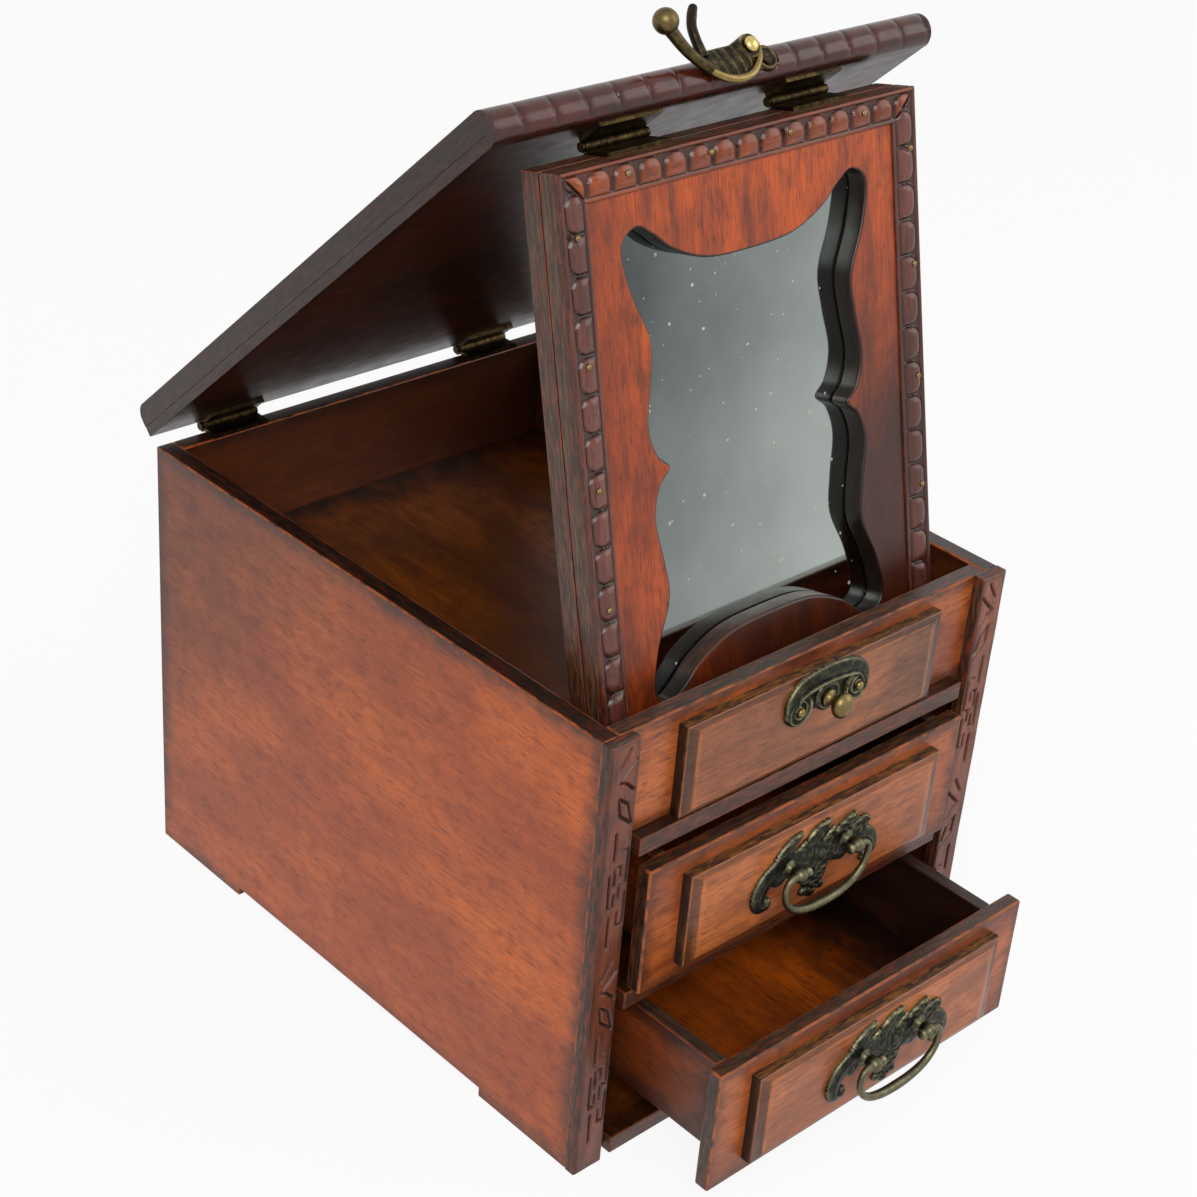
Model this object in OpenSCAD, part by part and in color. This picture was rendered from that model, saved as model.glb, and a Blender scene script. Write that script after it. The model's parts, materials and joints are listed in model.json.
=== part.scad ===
// Dressing box of stained wood: two drawers in front, a shallow tray on top, and a
// hinged lid that carries a folding mirror frame. The lid is drawn propped open.
// X runs across the front, Y from front to back and Z up. The origin is on the
// ground, at the middle of the case.

/* [Case] */
// Width over the two side panels
case_w = 160; // [150:1:180]
// Depth from the carved strips to the back panel
case_d = 207.5; // [204:0.5:215]
// Thickness of the side panels and the back panel
panel_t = 6; // [5:0.5:6.5]
// Thickness of the bottom board, the divider and the tray floor
board_t = 5.8; // [5:0.2:6.4]
// Height of the boards and the back panel above the ground
board_lift = 1; // [0.5:0.5:3]
// Height of the notch between the feet of a side panel
notch_h = 3; // [2:0.5:6]
// Length of each foot of a side panel
foot_len = 43; // [30:1:60]
// Depth of the tray from its floor to the top of the case
tray_depth = 34; // [33.5:0.5:36]

/* [Front] */
// Width of a carved strip
strip_w = 10.5; // [8:0.5:12]
// Thickness of a carved strip
strip_t = 4; // [3:0.5:4.5]
// Gap from a strip to the front edge of each board
tongue_gap = 3; // [1:0.5:5]
// Thickness of the fixed panel above the drawers
front_panel_t = 5.5; // [4.5:0.5:6]
// Plain edge beside the field on a drawer front
field_side_margin = 13; // [9:0.5:18]
// Thickness of a raised field
field_t = 4.3; // [3:0.1:5]
// Width of the bevel at the two sides of a raised field
bevel_w = 4.2; // [2:0.2:8]
// Width of the bevel at the top and bottom of a raised field
bevel_top_w = 2; // [1:0.2:6]
// Depth of the bevel round a raised field
bevel_d = 0.9; // [0.5:0.1:2.6]
// Plain edge of the fixed panel above its field
field_top_margin = 4.5; // [3:0.5:8]

/* [Drawers] */
// Gap between a drawer front and the strip beside it
front_gap = 4.5; // [4:0.5:8]
// Height of a drawer front
front_h = 42; // [40:0.5:43]
// Thickness of a drawer front
front_t = 5; // [4:0.5:6]
// Gap under the lower drawer front
lower_gap = 2.6; // [1:0.1:4]
// Gap above the lower drawer front
lower_top_gap = 3.1; // [1:0.1:5]
// Gap under the upper drawer front
upper_gap = 0.9; // [0.5:0.1:3]
// Gap above the upper drawer front
upper_top_gap = 4; // [1:0.1:6]
// How far the lower drawer stands open
lower_out = 34.5; // [5:0.5:80]
// How far the upper drawer stands open
upper_out = 3.4; // [0:0.1:80]
// Sideways offset of the lower drawer front on its box
lower_shift = 2.9; // [0:0.1:3.5]
// Width of the guide between a side panel and a drawer box
guide_w = 14.4; // [13.4:0.2:18.4]
// Height of a drawer box
box_h = 30; // [20:1:30]
// Height of a drawer box above the lower edge of its front
box_rise = 11.8; // [8:0.2:11.8]
// Thickness of the sides and back of a drawer box
box_t = 4.5; // [3:0.5:6]
// Thickness of the bottom of a drawer box
box_bottom_t = 3; // [2:0.5:4]
// Gap between a drawer box and the back panel with the drawer shut
box_back_gap = 1.5; // [0.5:0.5:6]
// Plain edge above and below the field on a drawer front
field_margin = 5.5; // [3:0.5:8]
// Running gap between a drawer box and its runners
run_gap = 0.6; // [0.4:0.1:1]
// Depth of the ledge that carries a drawer box
ledge_w = 5.6; // [4:0.1:8]
// Height of the guide beside a drawer box
guide_h = 12; // [8:1:16]
// Distance from the strips to the front end of the runners
runner_start = 14; // [10:1:20]

/* [Pulls] */
// Distance between the two posts of a pull
post_pitch = 24; // [22:0.5:28]
// Height of the bail's pivots above the lower edge of the drawer front
pull_rise = 24.2; // [20:0.1:25]
// Sideways place of the upper pull
upper_pull_x = -1.9; // [-5:0.1:5]
// Sideways place of the lower pull
lower_pull_x = 5; // [-5:0.1:10]
// Distance from the backplate to the bail's pivots
post_reach = 4.5; // [4:0.5:8]
// Radius of a post
post_r = 1.6; // [1.3:0.1:2]
// Radius of the wire of a bail
bail_r = 1.2; // [0.9:0.1:1.3]
// Drop of a bail below its pivots
bail_drop = 14; // [12:0.5:16]
// Thickness of a backplate
plate_t = 1.2; // [0.8:0.1:2]

/* [Lid] */
// Width of the lid
lid_w = 161; // [160:0.5:166]
// Length of the lid from back edge to front moulding
lid_len = 211; // [209:0.5:213]
// Thickness of the upper board of the lid
lid_top_t = 6.5; // [5:0.5:8]
// Thickness of the lower board of the lid
lid_under_t = 3.35; // [3:0.05:4]
// Gap between the case and the closed lid
lid_gap = 2.4; // [2.2:0.1:3]
// Overhang of the lid behind the case
lid_overhang = 2; // [1.5:0.1:2.5]

/* [Mirror frame] */
// Width of the mirror frame
frame_w = 132.6; // [124:0.1:136]
// Length of the mirror frame
frame_len = 164; // [150:0.5:164]
// Distance from the front panel's back to the standing frame's foot
foot_gap = 2.31; // [1:0.01:20]
// Height of the standing frame's foot above the tray floor
foot_clear = 10.41; // [5:0.01:30]
// Thickness of the scalloped board
scallop_t = 6.5; // [5:0.5:7]
// Height of the mouldings above the scalloped board
mould_h = 2.5; // [2:0.1:3]
// Width of the mouldings
mould_w = 9; // [7:0.5:10]
// Thickness of the mirror glass
glass_t = 2; // [1.5:0.1:3]
// Thickness of the board behind the glass
backing_t = 4.2; // [3:0.1:4.4]
// Width of the rails behind the scalloped board
rail_w = 6; // [5:0.5:8]
// Width of the opening in the scalloped board
opening_w = 92; // [80:1:96]
// Length of the opening in the scalloped board
opening_h = 130; // [110:1:132]
// Distance of the opening's middle below the frame's middle
opening_drop = 1.5; // [0:0.1:3]

/* [Hinges] */
// Distance from the middle to each back hinge
back_hinge_x = 52; // [40:1:60]
// Length of a back hinge
back_hinge_w = 20; // [16:1:26]
// Radius of a back hinge's knuckles
back_knuckle_r = 2; // [1.8:0.1:2]
// Width of a back hinge leaf
back_leaf_w = 8; // [7.5:0.1:8]
// Distance from the middle to each mirror hinge
mirror_hinge_x = 34; // [26:1:44]
// Length of a mirror hinge
mirror_hinge_w = 22; // [16:1:26]
// Radius of a mirror hinge's knuckles
mirror_knuckle_r = 1.6; // [1.5:0.1:1.6]
// Width of a mirror hinge leaf
mirror_leaf_w = 9.2; // [8:0.1:9.4]
// Thickness of a mirror hinge leaf
mirror_leaf_t = 1; // [0.8:0.1:1.1]
// Radius of the hinge pins
pin_r = 0.8; // [0.6:0.05:0.9]
// Radius of the hinge screws
screw_r = 0.9; // [0.7:0.05:1]
// Length of the screws in the case and the mirror frame
screw_len = 5; // [4:0.5:5.5]
// Length of the screws in the lid's lower board
lid_screw_len = 2.8; // [2:0.1:2.9]

/* [Hook and catch] */
// Sideways place of the hook's rivet
rivet_x = 8.6; // [-10:0.1:12]
// Height of the hook's rivet above the lid's underside
rivet_h = 8.9; // [7:0.1:9]
// Thickness of the hook
hook_t = 2.2; // [1.6:0.1:2.6]
// Thickness of the plate behind the hook
hook_plate_t = 1.2; // [1:0.1:1.4]
// Sideways place of the catch plate
catch_x = 2.2; // [-10:0.1:10]
// Depth of the catch plate's middle below the top of the case
catch_drop = 14.2; // [13:0.1:17]
// Distance between the two screws of the catch plate
catch_pitch = 24; // [20:0.5:28]
// How far the catch stud stands out of its plate
stud_reach = 8; // [6:0.5:9]

/* [Hidden] */
$fn = 48;

wood = "#9c4a2a";
dark_wood = "#5e3020";
inside_wood = "#7a4526";
bronze = "#5a4c2e";
brass = "#b08a3c";
mirror_tint = "#9aa3a4";

// Small clearances: a pin in its bore, a screw in wood, between knuckles, between leaves
pin_fit = 0.05;
screw_fit = 0.03;
knuckle_fit = 0.2;
leaf_fit = 0.1;
glass_fit = 0.2;
turn_fit = 0.15;

// The catch stud's knob: its radius, and half of its thickness
knob_r = 3.9;
knob_t = 2.6;

// Metal round the bail in a post's eye
eye_wall = 1.1;

// A brad: the radius of its head, how deep the head is let in, and its length
brad_r = 0.75;
brad_sink = 0.4;
brad_len = 2.2;

// The case from front to back and from the ground up
front_y = -case_d / 2;
back_y = case_d / 2;
panel_x = case_w / 2 - panel_t;
rear_y = back_y - panel_t;
board_y = front_y + strip_t;
strip_x = case_w / 2 - strip_w;
tongue_x = strip_x - tongue_gap;
lower_z = board_lift + board_t + lower_gap;
divider_z = lower_z + front_h + lower_top_gap;
upper_z = divider_z + board_t + upper_gap;
tray_z = upper_z + front_h + upper_top_gap;
tray_top = tray_z + board_t;
case_h = tray_top + tray_depth;
front_panel_y = board_y + front_panel_t;
fixed_field_h = tray_depth - field_top_margin;
front_w = 2 * (strip_x - front_gap);
field_w = front_w - 2 * field_side_margin;
box_w = 2 * (panel_x - guide_w - run_gap);
drawer_field_h = front_h - 2 * field_margin;
box_len = case_d - panel_t - front_t - box_back_gap;

// The closed lid
lid_z = case_h + lid_gap;
lid_t = lid_under_t + lid_top_t;
lid_back_y = back_y + lid_overhang;
lid_front_y = lid_back_y - lid_len;
lid_board_y = lid_front_y + lid_t / 2;
back_leaf_t = (lid_gap - leaf_fit) / 2;
back_pin_y = back_y + back_knuckle_r + pin_fit;
back_pin_z = case_h + lid_gap / 2;
relief_r = back_knuckle_r + 2 * turn_fit;

// The mirror frame, folded flat under the closed lid
frame_t = mould_h + scallop_t + glass_t + backing_t;
mirror_pin_y = front_panel_y + mirror_knuckle_r + 1.4;
mirror_pin_z = lid_z - 2.2;
frame_top_y = mirror_pin_y + 1.9;
frame_back_z = mirror_pin_z - 0.4;

// The lid and the frame stand open like two sides of a triangle. Its corners are the back
// pins, the mirror pins and the frame's front bottom edge, whose place is set by its two
// clearances. All three are measured from the back pins, with Y turned to the front.
pin_reach = back_pin_y - mirror_pin_y;
pin_dip = back_pin_z - mirror_pin_z;
foot_reach = back_pin_y - front_panel_y - foot_gap;
foot_rise = tray_top + foot_clear - back_pin_z;
frame_side = frame_len + frame_top_y - mirror_pin_y;
frame_depth = frame_t + mirror_pin_z - frame_back_z;
lid_arm = norm([pin_reach, pin_dip]);
frame_arm = norm([frame_side, frame_depth]);
foot_arm = norm([foot_reach, foot_rise]);
lid_angle = atan2(foot_rise, foot_reach)
    + acos((lid_arm ^ 2 + foot_arm ^ 2 - frame_arm ^ 2) / (2 * lid_arm * foot_arm));
lid_open = lid_angle + atan2(pin_dip, pin_reach);
frame_lean = atan2(foot_reach - lid_arm * cos(lid_angle), lid_arm * sin(lid_angle) - foot_rise)
    - atan2(frame_depth, frame_side);
fold = 90 + frame_lean - lid_open;
opening_y = -frame_len / 2 - opening_drop;

// Half of a half of the opening's edge, from its middle at the top round to the cusp
// at the side, in a drawing 92 wide and 130 long
scallop_knots = [[0, 51.4], [16, 52.3], [28, 56.8], [35.5, 62.4], [41, 65], [46, 60.5],
    [43.6, 48.5], [38.4, 36], [39.2, 25], [41.3, 13], [39, 4.5], [34.7, 0]];
scallop_steps = 4;

function blend(a, b, c, d, t) =
    ((2 * b) + (c - a) * t + (2 * a - 5 * b + 4 * c - d) * t * t
    + (3 * b - a - 3 * c + d) * t * t * t) / 2;
function knot(i) = i < 0 ? [-scallop_knots[1].x, scallop_knots[1].y]
    : scallop_knots[min(i, len(scallop_knots) - 1)];
function scallop_quarter() = [for (i = [0 : len(scallop_knots) - 2])
    for (s = [0 : scallop_steps - 1])
        blend(knot(i - 1), knot(i), knot(i + 1), knot(i + 2), s / scallop_steps)];
function turned(list) = [for (i = [len(list) - 1 : -1 : 0]) list[i]];
function flipped(list, kx, ky) = [for (p = list) [p.x * kx, p.y * ky]];
function scallop_half() = let (q = scallop_quarter())
    concat(q, [knot(len(scallop_knots) - 1)], flipped(turned(q), 1, -1));

// A box between two corners
module span(lo, hi) {
    translate(lo) cube(hi - lo);
}

// A profile drawn in Y and Z, run along X about the middle
module along_x(length) {
    translate([-length / 2, 0, 0]) rotate([90, 0, 90]) linear_extrude(length) children();
}

// A round bar along X about the middle
module bar_x(length, r) {
    translate([-length / 2, 0, 0]) rotate([0, 90, 0]) cylinder(h = length, r = r);
}

// A round rod between two points
module rod(p, q, r) {
    d = q - p;
    translate(p) rotate([0, acos(d.z / norm(d)), atan2(d.y, d.x)]) cylinder(h = norm(d), r = r);
}

// A countersunk screw that points down from its flush head
module screw(r, length) {
    difference() {
        union() {
            cylinder(h = 0.9, r1 = r, r2 = 1.9 * r);
            translate([0, 0, -length]) cylinder(h = length + 0.01, r = r);
        }
        translate([-2 * r, -0.15, 0.6]) cube([4 * r, 0.3, 1]);
    }
}

// The wood and the countersink that such a screw takes away
module screw_hole(r, length) {
    translate([0, 0, -length]) cylinder(h = length + 0.02, r = r + screw_fit);
    translate([0, 0, 0]) cylinder(h = 0.9, r1 = r + screw_fit, r2 = 1.9 * r + screw_fit);
}

// A panel with a bevel on all four sides, with its back on Y = 0 and its foot on Z = 0
module raised_field(w, h) {
    edge = field_t - bevel_d;
    intersection() {
        linear_extrude(h) polygon([[-w / 2, 0], [w / 2, 0], [w / 2, -edge],
            [w / 2 - bevel_w, -field_t], [bevel_w - w / 2, -field_t], [-w / 2, -edge]]);
        along_x(w) polygon([[0, 0], [-edge, 0], [-field_t, bevel_top_w],
            [-field_t, h - bevel_top_w], [-edge, h], [0, h]]);
    }
}

// Puts parts of the closed lid where the open lid has them
module on_lid() {
    translate([0, back_pin_y, back_pin_z]) rotate([-lid_open, 0, 0])
        translate([0, -back_pin_y, -back_pin_z]) children();
}

// Puts parts drawn on a mirror frame that lies on its back, with its top edge on Y = 0,
// where the open frame has them
module on_frame() {
    on_lid() translate([0, mirror_pin_y, mirror_pin_z]) rotate([-fold, 0, 0])
        translate([0, frame_top_y - mirror_pin_y, frame_back_z - mirror_pin_z])
            rotate([180, 0, 0]) children();
}

// One leaf of a hinge about the X axis. Its plate runs towards -Y, and holds the
// outer two knuckles or the middle one.
module hinge_leaf(w, r, plate_w, z0, t, outer, holes) {
    middle_w = w / 3;
    difference() {
        union() {
            difference() {
                span([-w / 2, -plate_w, z0], [w / 2, 0, z0 + t]);
                if (outer) bar_x(middle_w + 2 * knuckle_fit, r + turn_fit);
                else difference() {
                    bar_x(w + 1, r + turn_fit);
                    bar_x(middle_w, r + 1);
                }
            }
            if (outer) difference() {
                bar_x(w, r);
                bar_x(middle_w + 2 * knuckle_fit, r + 1);
            }
            else bar_x(middle_w, r);
        }
        bar_x(w + 1, pin_r + pin_fit);
        for (p = holes) translate([p.x, p.y, z0 - 1]) cylinder(h = t + 2, r = screw_r + 0.1);
    }
}

// A hinge pin with a small head at each end
module hinge_pin(w) {
    bar_x(w + 1.2, pin_r);
    for (s = [-1, 1]) translate([s * (w / 2 + 0.4), 0, 0]) bar_x(0.6, pin_r + 0.5);
}

back_screws = [for (s = [-1, 1]) [s * back_hinge_w / 3.4, panel_t / 2 - 8.05]];
mirror_screws = [for (s = [-1, 1]) [s * mirror_hinge_w / 3.4, -5.6]];

// Repeats for the left and the right of a pair
module pair(x) {
    for (s = [-1, 1]) translate([s * x, 0, 0]) children();
}

// Case

module side_panel(side) {
    x0 = side < 0 ? -case_w / 2 : panel_x;
    color(wood) difference() {
        span([x0, board_y, 0], [x0 + panel_t, back_y, case_h]);
        span([x0 - 1, front_y + foot_len, -1], [x0 + panel_t + 1, back_y - foot_len, notch_h]);
    }
}

module left_side_panel() {
    side_panel(-1);
}

module right_side_panel() {
    side_panel(1);
}

module back_panel() {
    color(wood) difference() {
        span([-panel_x, rear_y, board_lift], [panel_x, back_y, case_h]);
        place_case_screws() screw_hole(screw_r, screw_len);
    }
}

// A level board between the side panels, with a tongue forward between the strips
module level_board(z) {
    span([-panel_x, board_y, z], [panel_x, rear_y, z + board_t]);
    span([-tongue_x, front_y, z], [tongue_x, board_y + 0.01, z + board_t]);
}

module bottom_board() {
    color(wood) level_board(board_lift);
}

module divider_board() {
    color(wood) level_board(divider_z);
}

module tray_floor() {
    color(inside_wood) level_board(tray_z);
}

module front_panel() {
    color(wood) difference() {
        span([-panel_x, board_y, tray_top], [panel_x, front_panel_y, case_h]);
        place_catch() catch_holes();
    }
}

module front_field() {
    color(wood) difference() {
        translate([0, board_y, tray_top]) raised_field(field_w, fixed_field_h);
        place_catch() catch_holes();
    }
}

module carved_strip(side) {
    x0 = side < 0 ? -case_w / 2 : strip_x;
    color(dark_wood) difference() {
        span([x0, front_y, 0], [x0 + strip_w, board_y, case_h]);
        translate([x0 + strip_w / 2, front_y, 0]) strip_carving(side);
    }
}

// Shallow cuts in the face of a strip: two motifs one above the other, each a fan of
// slanting strokes, a leaf slit and an upright line with hooks
module strip_carving(side) {
    motif_h = case_h / 2;
    cut = 0.8;
    for (k = [0, 1]) translate([0, -1, k * motif_h]) {
        for (i = [0 : 2]) translate([0, 0, motif_h - 12 - 6 * i]) rotate([0, -side * 40, 0])
            translate([-3.6, 0, -0.5]) cube([7.2, 1 + cut, 1]);
        translate([-0.5, 0, motif_h * 0.4]) cube([1, 1 + cut, 12]);
        translate([-2.6, 0, 6]) cube([1, 1 + cut, motif_h * 0.33]);
        for (i = [0 : 2]) translate([-2.6, 0, 7 + 8 * i]) {
            cube([5.2, 1 + cut, 1]);
            translate([4.2, 0, 0]) cube([1, 1 + cut, 4]);
        }
    }
}

module left_carved_strip() {
    carved_strip(-1);
}

module right_carved_strip() {
    carved_strip(1);
}

// The ledge under and the guide beside both sides of a drawer box
module runners(bay_z, box_z) {
    guide_x = box_w / 2 + run_gap;
    ledge_z = box_z - run_gap / 2;
    for (s = [0, 1]) mirror([s, 0, 0]) {
        span([guide_x - ledge_w, front_y + runner_start, bay_z], [panel_x, rear_y, ledge_z]);
        span([guide_x, front_y + runner_start, ledge_z - 0.01],
            [panel_x, rear_y, ledge_z + guide_h]);
    }
}

module lower_runners() {
    color(inside_wood) runners(board_lift + board_t, lower_z + box_rise);
}

module upper_runners() {
    color(inside_wood) runners(divider_z + board_t, upper_z + box_rise);
}

// Back hinges

module place_case_screws() {
    pair(back_hinge_x) for (p = back_screws)
        translate([p.x, back_pin_y + p.y, case_h + back_leaf_t - 0.9]) children();
}

module back_hinge_case_leaves() {
    color(brass) difference() {
        pair(back_hinge_x) translate([0, back_pin_y, back_pin_z])
            hinge_leaf(back_hinge_w, back_knuckle_r, back_leaf_w, case_h - back_pin_z,
                back_leaf_t, true, []);
        place_case_screws() screw_hole(screw_r, screw_len);
    }
}

module back_hinge_case_screws() {
    color(bronze) place_case_screws() screw(screw_r, screw_len);
}

module back_hinge_pins() {
    color(brass) pair(back_hinge_x) translate([0, back_pin_y, back_pin_z])
        hinge_pin(back_hinge_w);
}

module place_lid_screws() {
    pair(back_hinge_x) for (p = back_screws)
        translate([p.x, back_pin_y + p.y, lid_z - back_leaf_t + 0.9]) rotate([180, 0, 0]) children();
}

module back_hinge_lid_leaves() {
    color(brass) on_lid() difference() {
        pair(back_hinge_x) translate([0, back_pin_y, back_pin_z])
            hinge_leaf(back_hinge_w, back_knuckle_r, back_leaf_w,
                lid_z - back_leaf_t - back_pin_z, back_leaf_t, false, []);
        place_lid_screws() screw_hole(screw_r, lid_screw_len);
    }
}

module back_hinge_lid_screws() {
    color(bronze) on_lid() place_lid_screws() screw(screw_r, lid_screw_len);
}

// Catch on the fixed panel

module place_catch() {
    translate([catch_x, board_y - field_t, case_h - catch_drop]) children();
}

// The stud's hole and the two screw holes, through the field and into the panel
module catch_holes() {
    rotate([-90, 0, 0]) translate([0, 0, -1]) cylinder(h = field_t + 4, r = post_r + screw_fit);
    pair(catch_pitch / 2) rotate([-90, 0, 0]) translate([0, 0, -1])
        cylinder(h = field_t + 3.5, r = screw_r + screw_fit);
}

// A broad arch over two scrolls and a boss, in a drawing with its screws 24 apart
module catch_plate() {
    color(bronze) place_catch() difference() {
        rotate([90, 0, 0]) linear_extrude(plate_t) scale(catch_pitch / 24) {
            for (s = [-1, 1]) translate([12 * s, -0.2]) circle(r = 5);
            translate([0, 0.6]) circle(r = 4.8);
            intersection() {
                scale([1.48, 1]) circle(r = 12.3);
                translate([-20, -1]) square([40, 20]);
            }
        }
        rotate([90, 0, 0]) translate([0, 0, -1]) cylinder(h = plate_t + 2, r = post_r + screw_fit);
        place_catch_screws() screw_hole(screw_r, screw_len);
    }
}

module place_catch_screws() {
    pair(catch_pitch / 2) translate([0, 0.9 - plate_t, 0]) rotate([90, 0, 0]) children();
}

module catch_screws() {
    color(bronze) place_catch() place_catch_screws() screw(screw_r, screw_len);
}

module catch_stud() {
    color(bronze) place_catch() rotate([90, 0, 0]) {
        translate([0, 0, -field_t - 3]) cylinder(h = stud_reach + plate_t + field_t, r = post_r);
        translate([0, 0, plate_t]) cylinder(h = 1.2, r = 2.6);
        translate([0, 0, plate_t + stud_reach - knob_t]) scale([1, 1, knob_t / knob_r])
            sphere(r = knob_r);
    }
}

// Lid

// The back corner of the lid is rounded on top
module lid_top_board() {
    r = 4;
    color(dark_wood) on_lid() difference() {
        along_x(lid_w) difference() {
            translate([lid_board_y, lid_z + lid_under_t])
                square([lid_back_y - lid_board_y, lid_top_t]);
            translate([lid_back_y - r, lid_z + lid_t - r]) difference() {
                square(r + 1);
                circle(r = r);
            }
        }
        place_hook_screws() screw_hole(screw_r, screw_len);
    }
}

module lid_under_board() {
    color(wood) on_lid() difference() {
        span([-lid_w / 2, lid_board_y, lid_z], [lid_w / 2, lid_back_y, lid_z + lid_under_t]);
        pair(back_hinge_x) translate([0, back_pin_y, back_pin_z])
            bar_x(back_hinge_w + 2, relief_r);
        place_lid_screws() screw_hole(screw_r, lid_screw_len);
        place_mirror_lid_screws() screw_hole(screw_r, lid_screw_len);
    }
}

module lid_front_moulding() {
    color(dark_wood) on_lid() difference() {
        along_x(lid_w) translate([lid_board_y, lid_z + lid_t / 2]) difference() {
            circle(r = lid_t / 2);
            translate([0, -lid_t]) square(2 * lid_t);
        }
        span([rivet_x + hook_screws[1].x - hook_lobe_r - hook_flat_gap, lid_front_y - 1, lid_z - 1],
            [rivet_x + hook_screws[0].x + hook_lobe_r + hook_flat_gap, plate_back_y,
            lid_z + lid_t + 1]);
        place_hook_screws() screw_hole(screw_r, screw_len);
    }
}

// Hook, on a plate let into the moulding. Both are drawings with the rivet 8.9 above the
// lid's underside and the plate's two screws below it on either side.
hook_scale = rivet_h / 8.9;
hook_screws = [[6.1, 5.4] * hook_scale, [-7.6, 4.9] * hook_scale];
hook_lobe_r = 3.3 * hook_scale;
hook_flat_gap = 1.2;

plate_back_y = lid_front_y + 0.85;
plate_front_y = plate_back_y - hook_plate_t;
hook_back_y = plate_front_y - turn_fit;

// Draws in X and height above the lid's underside, thick towards -Y from y
module front_drawing(y, t) {
    on_lid() translate([rivet_x, y, lid_z]) rotate([90, 0, 0]) linear_extrude(t) children();
}

module place_hook_screws() {
    for (p = hook_screws)
        translate([rivet_x + p.x, plate_back_y - hook_plate_t + 0.9, lid_z + p.y])
            rotate([90, 0, 0]) children();
}

module hook_plate() {
    color(bronze) difference() {
        front_drawing(plate_back_y, hook_plate_t) difference() {
            union() {
                translate([0, rivet_h - 0.3]) circle(r = 3.6 * hook_scale);
                for (p = hook_screws) translate(p) circle(r = hook_lobe_r);
                scale(hook_scale) translate([-7.6, 2.4]) square([13.7, 5.6]);
            }
            translate([0, rivet_h]) circle(r = post_r - 0.4 + screw_fit);
        }
        on_lid() place_hook_screws() screw_hole(screw_r, screw_len);
    }
}

module hook_plate_screws() {
    color(bronze) on_lid() place_hook_screws() screw(screw_r, screw_len);
}

// A rivet from the plate through the hook, with a domed head
module hook_rivet() {
    r = post_r - 0.4;
    color(brass) on_lid() translate([rivet_x, plate_back_y, lid_z + rivet_h]) rotate([90, 0, 0]) {
        cylinder(h = hook_plate_t + hook_t + 2 * turn_fit + 0.2, r = r);
        translate([0, 0, hook_plate_t + hook_t + 2 * turn_fit]) intersection() {
            translate([0, 0, -1.6]) sphere(r = 2.9);
            cylinder(h = 3, r = 3);
        }
    }
}

// A round rod along points in X and Z, with a small bead at each joint. The backs of
// the beads lie on Y = 0.
module bent_rod(points, r) {
    bead = 1.15 * r;
    for (i = [0 : len(points) - 2]) {
        p = points[i];
        q = points[i + 1];
        rod([p.x, -bead, p.y], [q.x, -bead, q.y], r);
        translate([q.x, -bead, q.y]) sphere(r = bead);
    }
}

// The hook points away from the catch at rest. Its belly is a slice of a disc, and a
// prong and an arm with a ball rise from its far end.
module hook() {
    ball_r = 3.4 * hook_scale;
    arm = [[-18.2, 6.3] * hook_scale, [-22.6, 11.5] * hook_scale, [-25.4, 17.5] * hook_scale];
    prong = [[-17.2, 9.5] * hook_scale, [-16.6, 15.5] * hook_scale, [-13.2, 21.3] * hook_scale];
    color(bronze) {
        front_drawing(hook_back_y, hook_t) difference() {
            union() {
                scale(hook_scale) intersection() {
                    translate([-7.6, 13]) circle(r = 13.2);
                    translate([-19.6, -1]) square([22, 11.5]);
                }
                translate([0, rivet_h]) circle(r = 3.5 * hook_scale);
            }
            translate([0, rivet_h]) circle(r = post_r - 0.4 + pin_fit);
        }
        on_lid() translate([rivet_x, hook_back_y, lid_z]) {
            bent_rod(arm, 1.5 * hook_scale);
            bent_rod(prong, 1.3 * hook_scale);
            translate([arm[2].x - ball_r / 2, -ball_r, arm[2].y + 0.7 * ball_r]) sphere(r = ball_r);
        }
    }
}

// Mirror hinges

module at_mirror_hinge() {
    pair(mirror_hinge_x) translate([0, mirror_pin_y, mirror_pin_z]) children();
}

module place_mirror_lid_screws() {
    at_mirror_hinge() for (p = mirror_screws)
        translate([p.x, p.y, lid_z - mirror_pin_z - mirror_leaf_t + 0.9])
            rotate([180, 0, 0]) children();
}

module mirror_hinge_lid_leaves() {
    color(brass) on_lid() difference() {
        at_mirror_hinge() hinge_leaf(mirror_hinge_w, mirror_knuckle_r, mirror_leaf_w,
            lid_z - mirror_pin_z - mirror_leaf_t, mirror_leaf_t, true, []);
        place_mirror_lid_screws() screw_hole(screw_r, lid_screw_len);
    }
}

module mirror_hinge_lid_screws() {
    color(bronze) on_lid() place_mirror_lid_screws() screw(screw_r, lid_screw_len);
}

module mirror_hinge_pins() {
    color(brass) on_lid() at_mirror_hinge() hinge_pin(mirror_hinge_w);
}

// Puts a drawing about the mirror hinge's pin, on the closed lid, on the open frame
module on_frame_hinge() {
    on_lid() at_mirror_hinge() rotate([-fold, 0, 0]) rotate([90, 0, 0]) children();
}

module place_frame_screws() {
    for (p = mirror_screws) translate([p.x, p.y, mirror_pin_y - frame_top_y + mirror_leaf_t - 0.9])
        children();
}

module mirror_hinge_frame_leaves() {
    color(brass) on_frame_hinge() difference() {
        hinge_leaf(mirror_hinge_w, mirror_knuckle_r, mirror_leaf_w,
            mirror_pin_y - frame_top_y, mirror_leaf_t, false, []);
        place_frame_screws() screw_hole(screw_r, screw_len);
    }
}

module mirror_hinge_frame_screws() {
    color(bronze) on_frame_hinge() place_frame_screws() screw(screw_r, screw_len);
}

// Mirror frame, drawn on its back with its top edge on Y = 0

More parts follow.
